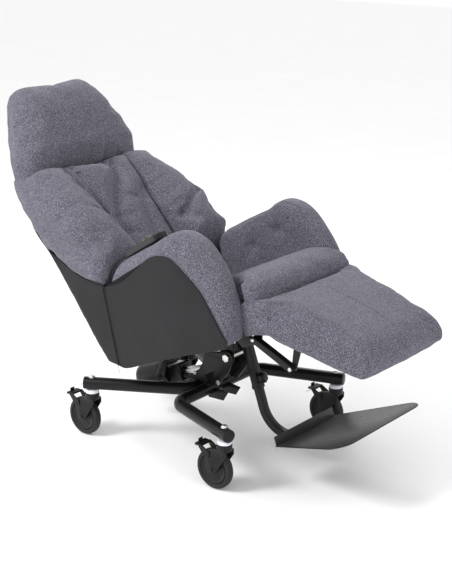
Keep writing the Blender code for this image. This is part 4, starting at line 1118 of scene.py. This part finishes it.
def build_castors():
    tyre, hub = castor_wheel()
    slots = []
    for k in range(5):
        angle = 2 * math.pi * k / 5
        for side in (-1, 1):
            rib = box((side * 0.0066 - 0.0008, -0.0016, 0.015), (side * 0.0066 + 0.0008, 0.0016, 0.040))
            slots.append(shaped(rib, Matrix.Rotation(angle, 4, "X")))
    hub = joined([hub, *slots])
    for corner, (x, y) in STEMS.items():
        foot = Matrix.Translation((x, y, 0))
        axle = Matrix.Translation((x, y + CASTOR_TRAIL, WHEEL_RADIUS))
        finished(
            link("tyre_" + corner, shaped(tyre.copy(), axle)), TYRE, "wheel_" + corner, "wheel_" + corner
        )
        finished(link("hub_" + corner, shaped(hub.copy(), axle)), HUB, "wheel_" + corner, slot="wheel_grey")
        edged("fork_" + corner, 0.0012)
        rivets, caps = [], []
        for side in (-1, 1):
            for v in (-0.007, 0.007):
                rivets.append(along_x(pill(0.0026, 0.0014, 0.7), side * 0.0195, v, 0.1305, side))
            caps.append(along_x(pill(0.0068, 0.0020, 0.5), side * 0.0215, CASTOR_TRAIL, WHEEL_RADIUS, side))
        finished(link("rivets_" + corner, shaped(joined(rivets), foot)), ZINC, "fork_" + corner, slot="zinc")
        finished(
            link("axle_caps_" + corner, shaped(joined(caps), foot)), CASTOR, "fork_" + corner,
            slot="caster_black"
        )
        lug = box((-0.0085, 0.0895, 0.1340), (0.0085, 0.0925, 0.1440))
        ridges = [0.0715 + 0.004 * k for k in range(4)]
        grip = [box((-0.0215, start, 0.1344), (0.0215, start + 0.0018, 0.1351)) for start in ridges]
        extra = bevelled(joined([lug, *grip]), 0.0006)
        finished(
            link("pedal_lug_" + corner, shaped(extra, foot)), CASTOR, "pedal_" + corner, slot="caster_black"
        )
        edged("pedal_" + corner, 0.0010)
        rod = [(-0.008, 0.083, 0.128), (-0.008, 0.094, 0.118), (-0.008, 0.108, 0.112), (-0.008, 0.113, 0.108)]
        wire = round_tube(smooth_through(rod, 6), 0.0010, 12)
        finished(
            link("pedal_wire_" + corner, shaped(wire, foot)), ZINC, "pedal_" + corner, slot="zinc", smooth=60
        )
        collar = turned([
            (0, 0.1500), (0.0205, 0.1500), (0.0216, 0.1512), (0.0218, 0.1540),
            (0.0206, 0.1566), (0.0190, 0.1580), (0.0190, 0.1607), (0, 0.1607),
        ])
        finished(link("washer_" + corner, shaped(collar, foot)), NYLON, "base", "collar_" + corner)
        bolt = joined([
            turned([(0, 0.1345), (0.006, 0.1345), (0.006, 0.2012), (0, 0.2012)], 20),
            turned([(0, 0.2012), (0.0112, 0.2012), (0.0112, 0.2030), (0.0104, 0.2036), (0, 0.2036)], 32),
            turned([
                (0, 0.2036), (0.0094, 0.2036), (0.0094, 0.2052), (0.0082, 0.2072), (0.0058, 0.2083),
                (0, 0.2086)
            ], 32),
        ])
        finished(link("stem_bolt_" + corner, shaped(bolt, foot)), ZINC, "base", "stem_" + corner, smooth=35)


def square_tube(path, half, across, corner=0.0025):
    """A square tube with rounded edges along a path that lies in a plane; across is that plane's normal."""
    path = [Vector(p) for p in path]
    across = Vector(across)
    section = []
    for quarter in range(4):
        for a in np.linspace(0, math.pi / 2, 4):
            angle = quarter * math.pi / 2 + a
            mid = quarter * math.pi / 2 + math.pi / 4
            centre = (half - corner) * math.sqrt(2)
            section.append((
                centre * math.cos(mid) + corner * math.cos(angle),
                centre * math.sin(mid) + corner * math.sin(angle)
            ))
    rings = []
    for k, place in enumerate(path):
        way = (path[min(k + 1, len(path) - 1)] - path[max(k - 1, 0)]).normalized()
        side = way.cross(across).normalized()
        rings.append([tuple(place + across * u + side * v) for u, v in section])
    return lofted("square", rings)


def build_foot_rest():
    run = -0.265 - 0.012 - 0.0003
    path = [seat(*p) for p in filleted([(0, -0.050, 0.020), (0, -0.050, run), (0, -0.370, run)], 0.100, 30)]
    finished(
        link("foot_tube_bent", square_tube(path, 0.012, (1, 0, 0))), STEEL, "foot_rest", "foot_tube_inner"
    )
    outer = square_tube([seat(0, -0.050, -0.115), seat(0, -0.050, 0.1078)], 0.014, (1, 0, 0), 0.003)
    collar = square_tube([seat(0, -0.050, -0.1165), seat(0, -0.050, -0.1040)], 0.0152, (1, 0, 0), 0.003)
    finished(link("foot_sleeve", joined([outer, collar])), STEEL, "seat_shell", "foot_tube_outer")
    # The plate, its turned-up rear flange and its rolled edge.
    rear, front, corner, half_rear, half_front = -0.190, -0.488, 0.055, 0.150, 0.215
    outline = [(-half_rear, rear)]
    for side in (-1, 1):
        start, end = (180, 270) if side < 0 else (270, 360)
        for a in np.linspace(start, end, 22):
            a = math.radians(a)
            outline.append((
                side * (half_front - corner) + corner * math.cos(a), front + corner + corner * math.sin(a)
            ))
    outline.append((half_rear, rear))
    rings = []
    for shrink, z in ((0.0012, -0.2650), (0.0, -0.2642), (0.0, -0.2626), (0.0012, -0.2620)):
        centre = Vector((0, -0.34))
        rings.append([seat(*(Vector(p) + (centre - Vector(p)).normalized() * shrink), z) for p in outline])
    plate = lofted("plate", rings)
    flange = bevelled(box((-0.149, rear - 0.003, -0.2645), (0.149, rear + 0.0003, -0.235)), 0.0012)
    flange.transform(SEAT)
    finished(link("foot_plate", joined([plate, flange])), PLATE, "foot_rest", "footplate")
    edge = [seat(x, y, -0.2634) for x, y in outline]
    finished(
        link("foot_plate_rim", round_tube(edge, 0.0019, 12)), STEEL, "foot_rest", slot="footplate_grey",
        smooth=60
    )
    lobes = []
    for radius, depth in (
        (0.0, 0.0), (0.0150, 0.0), (0.0172, 0.0016), (0.0178, 0.0080), (0.0172, 0.0145), (0.0140, 0.0168),
        (0.0, 0.0172)
    ):
        ring = []
        for a in around(60):
            r = radius * (1 - 0.07 * (0.5 + 0.5 * math.cos(6 * a)))
            ring.append((r * math.cos(a), r * math.sin(a), depth))
        lobes.append(ring)
    head = lofted("knob", lobes)
    neck = turned([(0, -0.004), (0.0088, -0.004), (0.0088, 0.001), (0, 0.001)], 30)
    rod = turned([(0, -0.0078), (0.0039, -0.0078), (0.0039, -0.003), (0, -0.003)], 20)
    place = SEAT @ Matrix.Translation((0, -0.0695, -0.085)) @ Matrix.Rotation(math.pi / 2, 4, "X")
    finished(
        link("clamp_knob", shaped(joined([head, neck, rod]), place)), MOTOR, "foot_clamp_knob",
        "foot_clamp_knob"
    )


def build_motor():
    """The tilt drive's motor with a domed end, a lighter band and its gearbox."""
    z = -0.031
    profile = [
        (0, 0.290), (0.0435, 0.290), (0.0445, 0.2915), (0.0445, 0.3125), (0.0435, 0.3140), (0.0425, 0.3160),
        (0.0430, 0.3200), (0.0430, 0.4080), (0.0420, 0.4200), (0.0380, 0.4300), (0.0300, 0.4360),
        (0.0200, 0.4378), (0, 0.4380),
    ]
    barrel = turned([(r, y) for r, y in profile], 64)
    place = SEAT @ Matrix.Translation((0, 0, z)) @ Matrix.Rotation(-math.pi / 2, 4, "X")
    barrel.transform(place)
    finished(link("motor_barrel", barrel), MOTOR, "tilt_actuator", slot="motor_black")
    ribs = []
    for y in (0.326, 0.332):
        section = [(0.040, y), (0.0438, y + 0.0006), (0.0438, y + 0.0022), (0.040, y + 0.0028), (0.040, y)]
        ribs.append(turned(section, 64))
    finished(link("motor_ribs", shaped(joined(ribs), place)), HANDSET, "tilt_actuator", slot="motor_black")
    gearbox = bevelled(box((-0.030, 0.232, z - 0.032), (0.030, 0.294, z + 0.030)), 0.007, 4)
    gearbox.transform(SEAT)
    mouth = turned([
        (0.0128, 0.2275), (0.0170, 0.2275), (0.0185, 0.2290), (0.0185, 0.2340), (0.0128, 0.2340),
        (0.0128, 0.2275)
    ], 40)
    pins = []
    for side in (-1, 1):
        pin = turned([(0, 0.028), (0.006, 0.028), (0.006, 0.060), (0, 0.060)], 24)
        pins.append(along_x(pin, 0, 0.300, z, side))
    casing = joined([gearbox, shaped(mouth, place), shaped(joined(pins), SEAT)])
    finished(link("motor_gearbox", casing), MOTOR, "tilt_actuator", "tilt_actuator_body", smooth=35)


def build_bolts():
    """Zinc bolt heads on the leg rest's stays and on the tower."""
    leg, base, tubes = [], [], []
    for side in (-1, 1):
        for y, z in ((-0.253, 0.070), (-0.360, -0.029)):
            bolt = along_x(pill(0.0062, 0.0036, 0.6), side * 0.2028, 0, 0, side)
            leg.append(shaped(bolt, Matrix.Translation(seat(0, y, z))))
        upper, foot = seat(side * 0.1935, -0.250, 0.0727), seat(side * 0.1935, -0.363, -0.0317)
        tubes.append(square_tube([upper, foot], 0.0100, (1, 0, 0), 0.0022))
        for y, z in ((0.020, 0.226), (-0.075, 0.215)):
            base.append(shaped(
                along_x(hex_bolt(0.0055, 0.0042), side * 0.0528, 0, 0, side), Matrix.Translation((0, y, z))
            ))
    finished(link("stay_bolts", joined(leg)), ZINC, "legrest", slot="zinc")
    finished(link("stay_tubes", joined(tubes)), STEEL, "legrest", slot="frame_black")
    finished(link("tower_bolts", joined(base)), ZINC, "base", slot="zinc", smooth=30)


def build_frames():
    for name, width in (
        ("tilt_tower", 0.0009), ("seat_frame", 0.0009), ("legrest_frame", 0.0007), ("back_frame", 0.0007),
        ("control_box", 0.0010), ("back_actuator_body", 0.0010), ("leg_actuator_body", 0.0010),
        ("tilt_shaft", 0.0008), ("seat_board", 0.0008),
    ):
        edged(name, width)


def handset_part(name, stations):
    """A rounded, squarish body over rows of where it is, half its width, and its foot and top."""
    rings = []
    for y, half, foot, top in stations:
        middle, tall = (foot + top) / 2, (top - foot) / 2
        rings.append([(u, y, middle + v) for u, v in rounded(half, tall, 0.42, 48)])
    return lofted(name, rings)


def build_handset():
    """A hand control that tapers to its cable, with a rounded front end and four keys in a panel."""
    slope = math.atan2(0.038, 0.181)
    place = SEAT @ Matrix.Translation((-0.258, 0.012, 0.3953)) @ Matrix.Rotation(-slope, 4, "X")
    stations = [
        (-0.0840, 0.0150, 0.0040, 0.0185), (-0.0825, 0.0200, 0.0020, 0.0205),
        (-0.0780, 0.0224, 0.0005, 0.0218), (-0.0600, 0.0230, 0.0000, 0.0220),
        (-0.0300, 0.0230, 0.0000, 0.0220), (0.0000, 0.0226, 0.0000, 0.0218),
        (0.0250, 0.0212, 0.0002, 0.0210), (0.0500, 0.0185, 0.0006, 0.0190), (0.0680, 0.0150, 0.0012, 0.0165),
        (0.0790, 0.0110, 0.0020, 0.0140), (0.0840, 0.0070, 0.0032, 0.0120),
    ]
    shell = handset_part("handset", stations)
    finished(link("handset_shell", shaped(shell, place)), HANDSET, "seat_shell", "handset_body", smooth=35)
    nose = handset_part("nose", [
        (-0.0846, 0.0140, 0.0045, 0.0180), (-0.0832, 0.0206, 0.0016, 0.0210),
        (-0.0780, 0.0233, -0.0002, 0.0224), (-0.0700, 0.0236, -0.0004, 0.0226),
        (-0.0695, 0.0228, 0.0004, 0.0216),
    ])
    finished(link("handset_nose", shaped(nose, place)), MOTOR, "seat_shell", slot="handset_grey", smooth=35)
    panel = bevelled(box((-0.0185, -0.0585, 0.0214), (0.0185, -0.0060, 0.0223)), 0.0004)
    finished(link("handset_panel", shaped(panel, place)), MOTOR, "seat_shell", slot="handset_grey", smooth=35)
    keys = (
        (-0.010, -0.045, "key_green"), (0.010, -0.045, "key_white"),
        (-0.010, -0.019, "key_green"), (0.010, -0.019, "key_violet"),
    )
    for number, (x, y, colour) in enumerate(keys, 1):
        rings = []
        for share, z in ((0.92, 0.0200), (1.0, 0.0205), (1.0, 0.0228), (0.93, 0.0234), (0.75, 0.0236)):
            rings.append([(x + u, y + v, z) for u, v in rounded(0.0062 * share, 0.0082 * share, 0.5, 32)])
        key = f"handset_button_{number}"
        finished(
            link(f"key_{number}", shaped(lofted("key", rings), place)), KEYS[colour], key, key, smooth=35
        )
    relief = turned([
        (0, -0.003), (0.0052, -0.003), (0.0052, 0.002), (0.0046, 0.0035), (0.0048, 0.006),
        (0.0042, 0.0075), (0.0044, 0.010), (0.0036, 0.0118), (0.0030, 0.016), (0, 0.016),
    ], 28)
    start, way_out = seat(-0.258, 0.0940, 0.3872), seat(-0.258, 0.104, 0.3852)
    turn = Matrix.Translation(start) @ (way_out - start).to_track_quat("Z", "Y").to_matrix().to_4x4()
    finished(link("lead_relief", shaped(relief, turn)), RUBBER, "seat_shell", slot="cable_black", smooth=35)


def build_zips():
    """A coil zip with its tapes between the side cover and the back's wing, and its pull."""
    top, foot = (0.1960, 0.312), (0.2222, 0.066)
    for side, hand in ((-1, "right"), (1, "left")):
        teeth = []
        line = evenly(np.array([top, foot]), 84)
        for y, z in line:
            x = side * (shell_half_width(y) + 0.0002)
            for shift in (-0.0011, 0.0011):
                bead = box((-0.0009, shift - 0.0009, -0.0007), (0.0009, shift + 0.0009, 0.0007))
                bead.transform(Matrix.Translation(Vector((x, y, z + (0.0007 if shift > 0 else -0.0007)))))
                teeth.append(bead)
        mesh = shaped(joined(teeth), SEAT)
        finished(link("zip_teeth_" + hand, mesh), MOTOR, "seat_shell", slot="motor_black", smooth=30)
        strip = lofted("tape", [
            [seat(side * (shell_half_width(y) - deep), y + along, z)
             for deep, along in ((0.0022, -0.006), (0.0008, -0.006), (0.0008, 0.006), (0.0022, 0.006))]
            for y, z in line
        ])
        finished(link("zip_tape_" + hand, strip), RUBBER, "seat_shell", slot="vinyl_charcoal", smooth=30)
        edged("zip_pull_" + hand, 0.0006)


build_arms()
build_seat_cushion()
build_leg_pad()
build_back_cushion()
build_bolsters()
build_head_cushion()
build_side_panels()
build_cover()
build_base()
build_castors()
build_foot_rest()
build_motor()
build_bolts()
build_frames()
build_handset()
build_zips()

finished(cable, RUBBER, "seat_shell", "handset_cable")

# Studio -------------------------------------------------------------------------------------------


def build_studio():
    floor_material, tree, shader, place = new_material("floor", (0.93, 0.93, 0.93), 0.7)
    tree.links.new(
        ramp_of(
            tree, noise_of(tree, place, 3, 2.0), [(0.3, (0.925, 0.925, 0.925)), (0.7, (0.94, 0.94, 0.94))]
        ),
        shader.inputs["Base Color"],
    )
    bm = bmesh.new()
    bmesh.ops.create_grid(bm, x_segments=1, y_segments=1, size=14)
    mesh = bpy.data.meshes.new("floor")
    bm.to_mesh(mesh)
    bm.free()
    floor = link("floor", mesh)
    floor.data.materials.append(floor_material)
    world = bpy.data.worlds.new("studio")
    bpy.context.scene.world = world
    world.use_nodes = True
    world.node_tree.nodes["Background"].inputs["Color"].default_value = (1.0, 1.0, 1.0, 1)
    world.node_tree.nodes["Background"].inputs["Strength"].default_value = 1.0
    lamps = [
        ((-2.6, 1.4, 3.0), (0.0, 0.0, 0.5), 1.3, 105),
        ((-0.8, -3.2, 2.2), (0.0, 0.0, 0.4), 1.6, 16),
        ((2.4, 1.6, 2.6), (0.0, 0.1, 0.6), 1.6, 22),
    ]
    for number, (place, aim, size, power) in enumerate(lamps):
        data = bpy.data.lights.new(f"softbox_{number}", "AREA")
        data.shape = "DISK"
        data.size = size
        data.energy = power
        lamp = link(f"softbox_{number}", data)
        lamp.location = place
        lamp.rotation_mode = "QUATERNION"
        lamp.rotation_quaternion = (Vector(aim) - Vector(place)).to_track_quat("-Z", "Y")
    bpy.context.scene.view_settings.view_transform = "Standard"


build_studio()
